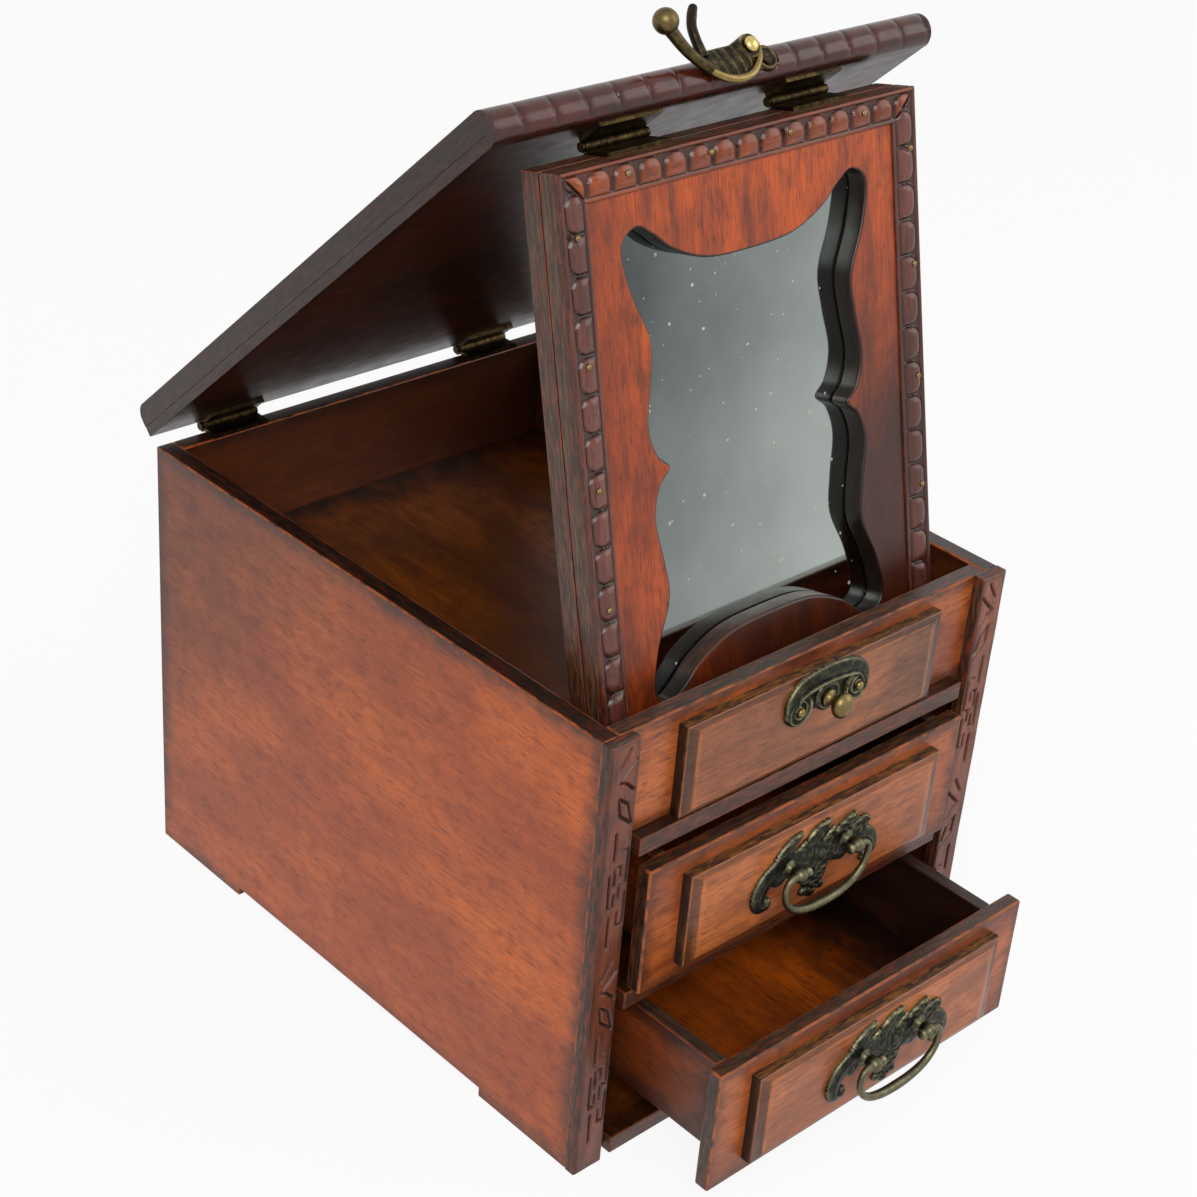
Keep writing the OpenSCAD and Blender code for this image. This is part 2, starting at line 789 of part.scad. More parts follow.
module scalloped_board() {
    z0 = backing_t + glass_t;
    sx = opening_w / 92;
    sy = opening_h / 130;
    half = scallop_half();
    color(wood) difference() {
        on_frame() translate([0, 0, z0]) linear_extrude(scallop_t) difference() {
            translate([-frame_w / 2, -frame_len]) square([frame_w, frame_len]);
            translate([0, opening_y]) polygon(concat(flipped(half, sx, sy),
                flipped([for (i = [len(half) - 2 : -1 : 1]) half[i]], -sx, sy)));
        }
        on_frame_hinge() place_frame_screws() screw_hole(screw_r, screw_len);
    }
}

// A half-round moulding with a small step inside it, along the X axis below Y = 0
module moulding(length) {
    round_w = mould_w - 1.6;
    translate([0, 0, frame_t - mould_h]) along_x(length) {
        translate([-mould_w, 0]) square([mould_w, mould_h * 0.4]);
        translate([-round_w / 2, 0]) intersection() {
            translate([0, mould_h - round_w / 2 - 0.6]) circle(r = round_w / 2 + 0.6);
            translate([-round_w / 2, 0]) square([round_w, mould_h]);
        }
    }
}

// The moulding of a side of a given length, with mitred ends
module mitred(length) {
    intersection() {
        moulding(length);
        linear_extrude(frame_t + 1) polygon([[-length / 2, 0], [length / 2, 0],
            [length / 2 - mould_w, -mould_w], [mould_w - length / 2, -mould_w]]);
    }
}

module frame_top_moulding() {
    color(wood) on_frame() difference() {
        mitred(frame_w);
        place_brads() brad_hole();
    }
}

module frame_bottom_moulding() {
    color(wood) on_frame() difference() {
        translate([0, -frame_len, 0]) rotate([0, 0, 180]) mitred(frame_w);
        place_brads() brad_hole();
    }
}

module frame_side_mouldings() {
    color(wood) on_frame() difference() {
        for (s = [-1, 1]) translate([s * frame_w / 2, -frame_len / 2, 0])
            rotate([0, 0, -s * 90]) mitred(frame_len);
        place_brads() brad_hole();
    }
}

module frame_side_rails() {
    color(wood) on_frame() for (s = [-1, 1]) {
        x = s * (frame_w - rail_w) / 2;
        span([x - rail_w / 2, -frame_len, 0], [x + rail_w / 2, 0, backing_t + glass_t]);
    }
}

module frame_cross_rails() {
    x = frame_w / 2 - rail_w;
    color(wood) difference() {
        on_frame() for (y = [-frame_len, -rail_w])
            span([-x, y, 0], [x, y + rail_w, backing_t + glass_t]);
        on_frame_hinge() place_frame_screws() screw_hole(screw_r, screw_len);
    }
}

module mirror_glass() {
    x = frame_w / 2 - rail_w - glass_fit;
    color(mirror_tint) on_frame() span([-x, rail_w + glass_fit - frame_len, backing_t],
        [x, -rail_w - glass_fit, backing_t + glass_t]);
}

module mirror_backing() {
    x = frame_w / 2 - rail_w;
    color(inside_wood) on_frame() span([-x, rail_w - frame_len, 0], [x, -rail_w, backing_t]);
}

// Small brads along the mouldings, with their heads let in
module place_brads() {
    inset = (mould_w - 1.6) / 2;
    for (i = [0 : 4]) pair(frame_w / 2 - inset)
        translate([0, -frame_len * (0.1 + 0.2 * i), frame_t]) children();
    for (i = [-1.5 : 1 : 1.5], y = [-inset, inset - frame_len])
        translate([i * frame_w / 4.5, y, frame_t]) children();
}

module brad_hole() {
    translate([0, 0, -brad_sink]) cylinder(h = 1, r = brad_r + screw_fit);
    translate([0, 0, -brad_len - screw_fit]) cylinder(h = brad_len, r = brad_r / 2 + screw_fit);
}

module frame_brads() {
    color(bronze) on_frame() place_brads() {
        translate([0, 0, -brad_sink]) cylinder(h = brad_sink + 0.2, r = brad_r);
        translate([0, 0, -brad_len]) cylinder(h = brad_len, r = brad_r / 2);
    }
}

// Drawers: 0 is the lower one and 1 the upper one

function drawer_z(k) = [lower_z, upper_z][k];
function drawer_out(k) = [lower_out, upper_out][k];
function front_shift(k) = [lower_shift, 0][k];
function pull_x(k) = [lower_pull_x, upper_pull_x][k];
function drawer_front_y(k) = front_y - drawer_out(k);
function box_y(k) = drawer_front_y(k) + front_t;
function box_z(k) = drawer_z(k) + box_rise;

// The place of a pull, on the field and level with the bail's pivots
module place_pull(k) {
    translate([pull_x(k), drawer_front_y(k) - field_t, drawer_z(k) + pull_rise]) children();
}

module post_holes(k) {
    place_pull(k) pair(post_pitch / 2) rotate([-90, 0, 0]) translate([0, 0, -plate_t - 1])
        cylinder(h = plate_t + field_t + front_t + 4, r = post_r + screw_fit);
}

module drawer_front(k) {
    x = front_shift(k);
    y = drawer_front_y(k);
    color(wood) difference() {
        span([x - front_w / 2, y, drawer_z(k)],
            [x + front_w / 2, y + front_t, drawer_z(k) + front_h]);
        post_holes(k);
    }
}

module drawer_field(k) {
    color(wood) difference() {
        translate([front_shift(k), drawer_front_y(k), drawer_z(k) + field_margin])
            raised_field(field_w, drawer_field_h);
        post_holes(k);
    }
}

module drawer_side(k, side) {
    x0 = side < 0 ? -box_w / 2 : box_w / 2 - box_t;
    color(inside_wood) span([x0, box_y(k), box_z(k)],
        [x0 + box_t, box_y(k) + box_len, box_z(k) + box_h]);
}

module drawer_back(k) {
    x = box_w / 2 - box_t;
    y = box_y(k) + box_len;
    color(inside_wood) span([-x, y - box_t, box_z(k)], [x, y, box_z(k) + box_h]);
}

module drawer_bottom(k) {
    x = box_w / 2 - box_t;
    color(inside_wood) span([-x, box_y(k), box_z(k)],
        [x, box_y(k) + box_len - box_t, box_z(k) + box_bottom_t]);
}

// A leafy arch of overlapping lobes that grow smaller towards its drooping ends, with a
// pendant between the posts, in a drawing with its posts 24 apart
module pull_plate(k) {
    u = post_pitch / 24;
    color(bronze) difference() {
        place_pull(k) rotate([90, 0, 0]) linear_extrude(plate_t) scale(u) {
            for (i = [-5 : 5])
                translate([4.3 * i, 4.5 - 0.5 * i * i]) circle(r = 5.4 - 0.35 * abs(i));
            translate([0, 4.6]) circle(r = 5.6);
            translate([0, -4]) circle(r = 5.4);
            translate([0, -9.4]) circle(r = 4.4);
        }
        post_holes(k);
    }
}

// Two posts through the front, each with an eye for the bail and a nut inside
module pull_posts(k) {
    through = field_t + front_t;
    nut_r = 2 * post_r;
    nut_t = 1.25 * post_r;
    post_tail = 1.5 * post_r;
    color(bronze) place_pull(k) pair(post_pitch / 2) {
        difference() {
            rotate([-90, 0, 0]) {
                translate([0, 0, -plate_t - post_reach])
                    cylinder(h = plate_t + post_reach + through + post_tail, r = post_r);
                translate([0, 0, -plate_t - post_reach]) sphere(r = bail_r + eye_wall);
            }
            translate([0, -plate_t - post_reach, 0]) bar_x(4 * (bail_r + eye_wall), bail_r + pin_fit);
        }
        rotate([-90, 0, 0]) translate([0, 0, through]) difference() {
            cylinder(h = nut_t, r = nut_r, $fn = 6);
            translate([0, 0, -1]) cylinder(h = nut_t + 2, r = post_r + screw_fit);
        }
    }
}

// A wire that hangs from the two eyes: out, round a small bend, down and round below
module bail(k) {
    bend = 2.4;
    corner = 8;
    x_eye = post_pitch / 2 + 2.9;
    x_side = x_eye + bend;
    color(bronze) place_pull(k) translate([0, -plate_t - post_reach, 0]) {
        for (s = [0, 1]) mirror([s, 0, 0]) {
            translate([post_pitch / 2 - 3, 0, 0]) rotate([0, 90, 0])
                cylinder(h = x_eye - post_pitch / 2 + 3, r = bail_r);
            translate([x_eye, 0, -bend]) rotate([90, 0, 0])
                rotate_extrude(angle = 90) translate([bend, 0]) circle(r = bail_r);
            translate([x_side, 0, corner - bail_drop]) cylinder(h = bail_drop - bend - corner, r = bail_r);
            translate([x_side - corner, 0, corner - bail_drop]) rotate([90, 0, 0])
                rotate_extrude(angle = -90) translate([corner, 0]) circle(r = bail_r);
        }
        translate([0, 0, -bail_drop]) bar_x(2 * (x_side - corner), bail_r);
    }
}

module lower_drawer_front() {
    drawer_front(0);
}

module lower_drawer_field() {
    drawer_field(0);
}

module lower_drawer_left_side() {
    drawer_side(0, -1);
}

module lower_drawer_right_side() {
    drawer_side(0, 1);
}

module lower_drawer_back() {
    drawer_back(0);
}

module lower_drawer_bottom() {
    drawer_bottom(0);
}

module lower_pull_plate() {
    pull_plate(0);
}

module lower_pull_posts() {
    pull_posts(0);
}

module lower_bail() {
    bail(0);
}

module upper_drawer_front() {
    drawer_front(1);
}

module upper_drawer_field() {
    drawer_field(1);
}

module upper_drawer_left_side() {
    drawer_side(1, -1);
}

module upper_drawer_right_side() {
    drawer_side(1, 1);
}

module upper_drawer_back() {
    drawer_back(1);
}

module upper_drawer_bottom() {
    drawer_bottom(1);
}

module upper_pull_plate() {
    pull_plate(1);
}

module upper_pull_posts() {
    pull_posts(1);
}

module upper_bail() {
    bail(1);
}

left_side_panel();
right_side_panel();
back_panel();
bottom_board();
divider_board();
tray_floor();
front_panel();
front_field();
left_carved_strip();
right_carved_strip();
lower_runners();
upper_runners();
back_hinge_case_leaves();
back_hinge_case_screws();
back_hinge_pins();
catch_plate();
catch_screws();
catch_stud();
lid_top_board();
lid_under_board();
lid_front_moulding();
back_hinge_lid_leaves();
back_hinge_lid_screws();
mirror_hinge_lid_leaves();
mirror_hinge_lid_screws();
mirror_hinge_pins();
hook_plate();
hook_plate_screws();
hook_rivet();
hook();
scalloped_board();
frame_top_moulding();
frame_bottom_moulding();
frame_side_mouldings();
frame_side_rails();
frame_cross_rails();
mirror_glass();
mirror_backing();
mirror_hinge_frame_leaves();
mirror_hinge_frame_screws();
frame_brads();
lower_drawer_front();
lower_drawer_field();
lower_drawer_left_side();
lower_drawer_right_side();
lower_drawer_back();
lower_drawer_bottom();
lower_pull_plate();
lower_pull_posts();
lower_bail();
upper_drawer_front();
upper_drawer_field();
upper_drawer_left_side();
upper_drawer_right_side();
upper_drawer_back();
upper_drawer_bottom();
upper_pull_plate();
upper_pull_posts();
upper_bail();
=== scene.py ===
# %% [markdown]
# # Dressing box with a folding mirror
#
# The object is a small case of stained wood. Two drawers run in its front, a tray lies
# under its lid, and a mirror in a scalloped frame folds down from the lid. The packed
# model gives every piece its place and its size, and this script gives each one its
# finish and the fine shapes that a plain solid leaves out.

# %% Load the frame
import json
import math

import bmesh
import bpy
import numpy as np
from mathutils import Matrix, Vector

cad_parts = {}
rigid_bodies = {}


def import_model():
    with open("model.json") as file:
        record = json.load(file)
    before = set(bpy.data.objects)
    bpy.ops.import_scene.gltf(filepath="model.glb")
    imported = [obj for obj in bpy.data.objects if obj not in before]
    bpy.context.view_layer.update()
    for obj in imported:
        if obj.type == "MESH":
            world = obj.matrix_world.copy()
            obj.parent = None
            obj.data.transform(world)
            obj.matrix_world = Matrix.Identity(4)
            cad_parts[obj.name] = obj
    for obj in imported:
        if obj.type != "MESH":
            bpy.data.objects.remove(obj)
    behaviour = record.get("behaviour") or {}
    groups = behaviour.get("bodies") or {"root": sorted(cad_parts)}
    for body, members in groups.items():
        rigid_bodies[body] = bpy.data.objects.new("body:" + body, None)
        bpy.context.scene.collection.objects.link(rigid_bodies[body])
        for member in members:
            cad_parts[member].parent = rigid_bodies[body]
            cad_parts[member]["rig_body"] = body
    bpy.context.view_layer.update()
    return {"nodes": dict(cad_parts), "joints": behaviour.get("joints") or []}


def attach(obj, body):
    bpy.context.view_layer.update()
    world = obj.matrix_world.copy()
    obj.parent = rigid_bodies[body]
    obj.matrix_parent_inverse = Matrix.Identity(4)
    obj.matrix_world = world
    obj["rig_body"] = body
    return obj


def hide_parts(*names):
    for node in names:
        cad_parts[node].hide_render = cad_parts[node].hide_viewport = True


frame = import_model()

MM = 0.001


def new_object(name, data):
    made = bpy.data.objects.new(name, data)
    bpy.context.scene.collection.objects.link(made)
    return made


# %% [markdown]
# ## Three sets of axes
#
# The case and its drawers stand square to the world, but the lid leans back and the
# mirror frame leans the other way. So each body gets a small rotation, worked out from
# the joints, and a piece is drawn straight and then turned into place.

# %% Turn each body's own axes into the world's
JOINT = {joint["name"]: joint for joint in frame["joints"]}
rivet_axis = Vector(JOINT["hook_swing"]["axis"])
LID_OPEN = math.atan2(rivet_axis.z, -rivet_axis.y)
FOLD = math.radians(JOINT["mirror_fold"]["range_deg"][1])
LEAN = FOLD + LID_OPEN - math.pi / 2

SQUARE = Matrix.Identity(3)
LID_TURN = Matrix.Rotation(-LID_OPEN, 3, "X")
FRAME_TURN = Matrix.Rotation(math.pi / 2 - LEAN, 3, "X")
TURN = {"lid": LID_TURN, "hook": LID_TURN, "mirror_frame": FRAME_TURN}


def body_of(node):
    return frame["nodes"][node]["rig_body"]


def turn_of(node):
    return TURN.get(body_of(node), SQUARE)


def own_box(node):
    """The lowest and highest corner of a node, along the axes of its own body."""
    points = np.array([v.co for v in frame["nodes"][node].data.vertices]) @ np.array(turn_of(node))
    return points.min(0), points.max(0)


print(f"lid open {math.degrees(LID_OPEN):.2f} degrees, frame leans {math.degrees(LEAN):.2f}")

# %% [markdown]
# ## The camera
#
# The photograph was taken from the front left corner and from above, with the camera
# tilted a little to one side. Its place and its lens follow from the corners of the
# box, whose size is known. The camera is built from its three directions, because
# that holds the tilt as well, which a camera that only aims at a point would lose.

# %% Camera
AZIMUTH = math.radians(-45.11)
ELEVATION = math.radians(30.15)
ROLL = math.radians(4.88)
CAMERA_PLACE = Vector((-444.74, -456.94, 486.27)) * MM

back = Vector((math.sin(AZIMUTH) * math.cos(ELEVATION), -math.cos(AZIMUTH) * math.cos(ELEVATION),
               math.sin(ELEVATION)))
level = Vector((math.cos(AZIMUTH), math.sin(AZIMUTH), 0))
upright = back.cross(level)
right = level * math.cos(ROLL) + upright * math.sin(ROLL)
up = upright * math.cos(ROLL) - level * math.sin(ROLL)

camera_data = bpy.data.cameras.new("camera")
camera_data.sensor_width = 36
camera_data.lens = 71.8
camera = new_object("camera", camera_data)
camera.matrix_world = Matrix.Translation(CAMERA_PLACE) @ Matrix((right, up, back)).transposed().to_4x4()
bpy.context.scene.camera = camera
print("camera stands", round(CAMERA_PLACE.length, 3), "m from the middle of the case")

# %% [markdown]
# ## Helpers for materials
#
# Colours are easiest to pick as hex values, but a shader works in linear light, so one
# function turns one into the other. A material is then written as a chain of short
# steps, and each step adds one shader node with its settings and its links.


# %% Colours and nodes
def linear(tone):
    """An sRGB colour of six hex digits as linear red, green, blue and alpha."""
    values = [int(tone[i:i + 2], 16) / 255 for i in (0, 2, 4)]
    return [v / 12.92 if v <= 0.04045 else ((v + 0.055) / 1.055) ** 2.4 for v in values] + [1]


class Nodes:
    """Short steps for one node tree. An input is a plain value or a node's output."""

    def __init__(self, tree):
        self.tree = tree

    def feed(self, node, inputs):
        for socket, value in inputs.items():
            if isinstance(value, bpy.types.NodeSocket):
                self.tree.links.new(value, node.inputs[socket])
            else:
                node.inputs[socket].default_value = value
        return node.outputs

    def add(self, kind, inputs, **settings):
        """Adds a node and gives back its outputs."""
        made = self.tree.nodes.new("ShaderNode" + kind)
        for name, value in settings.items():
            setattr(made, name, value)
        return self.feed(made, inputs)

    def surface(self, inputs):
        return self.feed(self.tree.nodes["Principled BSDF"], inputs)

    def stored(self, name, output="Vector"):
        return self.add("Attribute", {}, attribute_name=name)[output]

    def calc(self, operation, *values, clamp=False):
        return self.add("Math", dict(enumerate(values)), operation=operation, use_clamp=clamp)[0]

    def times(self, one, two):
        return self.calc("MULTIPLY", one, two)

    def vector(self, operation, *values):
        return self.add("VectorMath", dict(enumerate(values)), operation=operation)

    def mix(self, share, low, high):
        """One colour laid over another."""
        return self.add("Mix", {0: share, 6: low, 7: high}, data_type="RGBA")[2]

    def ramp(self, value, low, high):
        """0 below low, 1 above high, and a smooth rise between."""
        return self.add("MapRange", {0: value, 1: low, 2: high}, interpolation_type="SMOOTHSTEP")[0]

    def noise(self, place, size, detail, rough):
        """Noise with blotches of the given size in millimetres along X, Y and Z."""
        scaled = self.vector("MULTIPLY", place, [1 / (s * MM) for s in size])[0]
        return self.add("TexNoise", {"Vector": scaled, "Scale": 1.0, "Detail": detail,
                                     "Roughness": rough})[0]


def new_material(name):
    material = bpy.data.materials.new(name)
    material.use_nodes = True
    return material, Nodes(material.node_tree)


# %% [markdown]
# ## Stained wood
#
# The case is a light hardwood, rubbed with a red-brown spirit stain and a coat of
# shellac. The stain takes unevenly, so the boards are cloudy, with orange lights and
# brown shadows about 40 mm across. The maker then darkened the edges, as years of
# handling would. Every board carries four sets of numbers for this: `grain`, its own
# axes with X along the fibres and Z through its thickness, `own`, the same measured
# from its middle, `half`, half its size, and `thin`, the way that its thickness points.
#
# On a face, one of the three distances to the sides of the board is zero, and the
# smaller of the other two is how far the nearest edge lies: the middle one of the
# three. That darkens the edges of a board of any size. The narrow faces, where the
# saw and the dry brush left streaks of olive and red, are the ones that don't face
# along `thin`. `thin` points out of the case, so the faces that look inward can be
# told apart and darkened: that is painted shade for the inside of the case. Some woods
# also darken towards one side along their own axes, which is painted shade as well.

# %% Wood material
# Each layer of the figure: its blotches in millimetres, its detail and its roughness
CLOUD, FIGURE, MOTTLE = ((60, 30, 26), 3, 0.55), ((34, 7, 7), 4, 0.62), ((7, 4.5, 4.5), 4, 0.65)
FIBRE, PORES, BLOT = ((14, 0.8, 0.8), 3, 0.6), ((5, 0.45, 0.45), 1, 0.5), ((9, 7, 7), 4, 0.6)
SAWN, SMEARED = ((9, 9, 0.8), 4, 0.75), ((6, 6, 1.1), 4, 0.7)


def stained_wood(name, tones, edge, strength=0.8, rough=0.42, streak=0.5,
                 rim="2e1a12 54402c 86341c", groove="180d08", painted_shade_slope=(0, 0, 0), inside=0.0):
    """tones are the light, the body, the dark figure, and the smoke of the edges, which is
    also the tone of painted shade. edge is their width in millimetres, rim the three tones
    of the narrow faces, groove the tone of cuts, for their dark stain and painted shade.
    painted_shade_slope is how fast the wood darkens into painted shade along its two axes,
    and how far. inside is how far the faces that look into the case darken with painted
    shade."""
    material, n = new_material(name)
    light, body, dark, smoke_and_shade = map(linear, tones.split())
    dry, olive, red = map(linear, rim.split())
    grain, own, half, thin = map(n.stored, ("grain", "own", "half", "thin"))
    cloud, figure, mottle, fibre, pores, blot, sawn, smeared = (
        n.noise(grain, *layer) for layer in (CLOUD, FIGURE, MOTTLE, FIBRE, PORES, BLOT, SAWN, SMEARED))

    colour = n.mix(n.ramp(cloud, 0.36, 0.62), body, light)
    for pattern, low, high, amount, tone in (
            (figure, 0.46, 0.68, streak, dark), (mottle, 0.48, 0.66, 0.4, dark),
            (fibre, 0.44, 0.7, 0.45, dark), (pores, 0.58, 0.72, 0.6, smoke_and_shade)):
        colour = n.mix(n.times(n.ramp(pattern, low, high), amount), colour, tone)
    # painted shade: the wood darkens towards one side along its own axes, as painted_shade_slope sets
    place = n.add("SeparateXYZ", {0: own})
    level = n.calc("MULTIPLY_ADD", place[0], painted_shade_slope[0], n.times(place[1], painted_shade_slope[1]))
    level = n.calc("ADD", level, n.calc("MULTIPLY_ADD", blot, 0.6, -0.3))
    colour = n.mix(n.times(n.ramp(level, 0, 1), painted_shade_slope[2]), colour, smoke_and_shade)

    gap = n.vector("SUBTRACT", half, n.vector("ABSOLUTE", own)[0])[0]
    gap = n.add("SeparateXYZ", {0: gap})
    low, high = n.calc("MINIMUM", gap[0], gap[1]), n.calc("MAXIMUM", gap[0], gap[1])
    middle = n.calc("MAXIMUM", low, n.calc("MINIMUM", high, gap[2]))
    middle = n.calc("ADD", middle, n.times(n.calc("SUBTRACT", blot, 0.5), 1.5 * edge * MM))
    near = n.calc("SUBTRACT", 1.0, n.ramp(middle, -0.2 * edge * MM, edge * MM))
    colour = n.mix(n.times(near, strength), colour, smoke_and_shade)

    streaks = n.mix(n.ramp(sawn, 0.46, 0.64), dry, olive)
    streaks = n.mix(n.times(n.ramp(smeared, 0.46, 0.64), 0.6), streaks, red)
    # painted shade: faces that look into the case darken as far as inside sets
    facing = n.vector("DOT_PRODUCT", n.add("TexCoord", {})["Normal"], thin)["Value"]
    inward = n.times(n.ramp(n.times(facing, -1.0), 0.6, 0.9), inside)
    narrow = n.calc("SUBTRACT", 1.0, n.ramp(n.calc("ABSOLUTE", facing), 0.3, 0.75))
    colour = n.mix(narrow, n.mix(inward, colour, smoke_and_shade), streaks)

    # cuts, grooves and gaps darken to the groove tone: dark stain and painted shade
    cut = n.calc("MULTIPLY", n.stored("cut", "Fac"), 0.92, clamp=True)
    # rounded edges and worn lines lighten: partly wear and partly a painted highlight
    rub = n.times(n.stored("rub", "Fac"), n.times(n.ramp(mottle, 0.36, 0.6), 0.6))
    colour = n.mix(rub, n.mix(cut, colour, linear(groove)), light)
    bump = n.add("Bump", {"Strength": 0.12, "Distance": 0.25 * MM, "Height": fibre})[0]
    gloss = n.calc("MULTIPLY_ADD", mottle, 0.3, rough - 0.15)
    n.surface({"Base Color": colour, "Roughness": gloss, "Normal": bump, "IOR": 1.45})
    return material


# painted shade: the case's boards darken along their length and towards the top, and their faces that look
# into the case darken as well
case_wood = stained_wood("case_wood_spirit_stain", "c8601a a84a12 7c2e0e 2c180e", 8, 0.85, 0.36, 0.3,
                         "1a0f0a 33241a 54200f", painted_shade_slope=(6, 8, 0.6), inside=0.8)
front_wood = stained_wood("front_wood_spirit_stain", "b86028 8e4219 642810 26150e", 6, 0.75, 0.36, 0.6,
                          "281912 463524 6e3418")
# painted shade: the frame's boards darken towards one corner along their own axes, on the scalloped board the
# bottom right
frame_wood = stained_wood("frame_wood_spirit_stain", "bc4f14 883610 52200d 1e0e0a", 8, 0.7, 0.34, 0.65,
                          "382218 5c4e36 7c3220", "0a0605", (-20, 12, 0.85))
bead_wood = stained_wood("bead_wood_waxed", "aa4c1a 7e3816 542614 20110c", 2, 0.3, 0.26,
                         rim="2e1a14 6a3a22 9a401c", groove="1c0f0d")
# a darker, greyer copy of the bead wood for the side beads: a painted sheen and shade for beads that face
# sideways
side_bead_wood_painted_sheen = stained_wood("bead_wood_worn", "704034 562f26 40231b 241410", 2, 0.3, 0.26,
                              rim="3a1c14 6a3826 963e20", groove="281411")
strip_wood = stained_wood("strip_wood_carved", "8a482c 6c3624 482218 20110c", 3, 0.6, 0.36, groove="120a07")
lid_wood = stained_wood("lid_wood_dark_stain", "461a0c 301409 200d07 100705", 8, 0.8, 0.36,
                        rim="1a0e09 33241a 4a1e10")
rim_wood = stained_wood("rim_wood_waxed", "561f14 3c160e 260e09 110705", 3, 0.4, 0.24,
                        rim="1e0f0b 331b13 4c2014", groove="0e0705")
# the wide, strong smoke at the edges of the tray's boards is partly smoked edges and partly painted shade in
# the tray's corners
tray_wood = stained_wood("tray_wood_dull_stain", "80400e 5a2c09 381706 120905", 24, 0.95, 0.36,
                         rim="3a1e14 54301e 7c3a20")
FIELD = dict(edge=4, strength=0.4, rough=0.34, streak=0.6, rim="2c180c 6e4a20 a8641f", groove="140b08")
field_wood = stained_wood("field_wood_spirit_stain", "c06c36 964e22 6a3419 301e16", **FIELD)
# painted shade: this copy of the field wood darkens towards the right end of the field
field_wood_with_painted_shade = stained_wood("field_wood_shaded_stain", "b66a38 8e4e28 643418 301a0e",
                                 painted_shade_slope=(20, 0, 0.7), **FIELD)
# painted shadow: the drawer bottoms darken to near black towards the right and the back
inner_wood = stained_wood("drawer_wood_thin_stain", "b0500a 823a06 542206 080403", 8, 0.8, 0.4,
                          rim="20130d 403224 4c2412", painted_shade_slope=(3, 26, 0.97))
# painted shade: the drawers' left sides darken towards the back
drawer_side_wood = stained_wood("drawer_wood_side_stain", "94441a 6e3010 48200c 140a06", 10,
                                rim="20130d 403224 4c2412", painted_shade_slope=(7, 0, 0.8))
# painted shade: a dark copy of the drawer wood for the right sides, backs and runners, which sit in shade
drawer_wood_in_painted_shade = stained_wood("drawer_wood_dark_stain", "3c1c0e 28120a 190b05 090403", 10,
                        rim="1c110c 3c2e22 482212")
print("woods:", len([m for m in bpy.data.materials if "_wood" in m.name]))

# %% [markdown]
# ## Antique bronze and brass
#
# The fittings are cast brass, browned with a bath so that they look old, and then
# rubbed with a cloth. The hollows stay dark and greenish and the raised parts shine
# through. Each cast piece stores how far it stands proud as `rub`, which
# mixes the two.


# %% Metal material
def aged_metal(name, ground, worn, rough, bare=0.0):
    material, n = new_material(name)
    place = n.add("TexCoord", {})["Object"]
    stain = n.noise(place, (2.2, 2.2, 2.2), 4, 0.65)
    pitting = n.noise(place, (0.5, 0.5, 0.5), 2, 0.5)
    shine = n.calc("ADD", n.stored("rub", "Fac"), n.calc("MULTIPLY_ADD", stain, 0.7, bare - 0.35), clamp=True)
    bump = n.add("Bump", {"Strength": 0.2, "Distance": 0.15 * MM, "Height": pitting})[0]
    gloss = n.calc("MULTIPLY_ADD", shine, -0.12, rough + 0.06)
    n.surface({"Base Color": n.mix(shine, linear(ground), linear(worn)), "Roughness": gloss,
               "Normal": bump, "Metallic": 1})
    return material


bronze = aged_metal("bronze_browned_cast", "252822", "a59c78", 0.38)
hook_bronze = aged_metal("bronze_browned_rubbed", "29251c", "a38b58", 0.36)
brass = aged_metal("brass_hinge_aged", "2c2317", "a58848", 0.38, 0.06)
bright_brass = aged_metal("brass_rivet_polished", "766536", "cdb575", 0.3, 0.2)
print("metals ready")

# %% [markdown]
# ## The mirror
#
# The glass is an ordinary silvered sheet, gone a little grey, with dust on it. It
# could be a clear sheet over a silver layer, but at this size the two reflections
# fall together. So one metallic surface with a grey colour does. That grey is a painted
# reflection: darker at one corner and lighter towards the other, in soft patches, as if
# something dim stood in the mirror. The specks of dust are dull and pale.

# %% Mirror material
DUST_PITCH = 3.2 * MM
silvered, n = new_material("glass_silvered_dusty")
grain = n.stored("grain")
cells = n.vector("MULTIPLY", grain, [1 / DUST_PITCH] * 3)[0]
speck = n.add("TexVoronoi", {"Vector": cells, "Scale": 1.0, "Randomness": 1.0})["Distance"]
reach = n.calc("MULTIPLY_ADD", n.noise(grain, (4, 4, 4), 2, 0.5), 0.8, -0.36)
dust = n.calc("SUBTRACT", 1.0, n.ramp(n.calc("SUBTRACT", speck, reach), -0.03, 0.04))
# painted reflection: the grey runs from dark at one corner to light at the other, in soft patches
painted_reflection_patches = n.calc("MULTIPLY_ADD", n.noise(grain, (30, 30, 30), 3, 0.5), 0.4, -0.2)
slope = n.add("SeparateXYZ", {0: n.stored("own")})
fall = n.calc("MULTIPLY_ADD", slope[0], -3.0, n.calc("MULTIPLY_ADD", slope[1], 7.0, 0.45))
silver_with_painted_reflection = n.mix(n.calc("ADD", fall, painted_reflection_patches, clamp=True), linear("545b5a"), linear("b2b9b4"))
n.surface({"Base Color": n.mix(dust, silver_with_painted_reflection, linear("b0b4ac")),
           "Metallic": n.calc("SUBTRACT", 1.0, n.times(dust, 0.9)),
           "Roughness": n.calc("MULTIPLY_ADD", dust, 0.6, 0.06)})
print("mirror ready")

# %% [markdown]
# ## Helpers for pieces
#
# Every piece ends the same way: it gets a material, stands for one solid and rides on
# that solid's body. One function does that for all of them. A second one stores the
# four sets of numbers that the wood looks at.


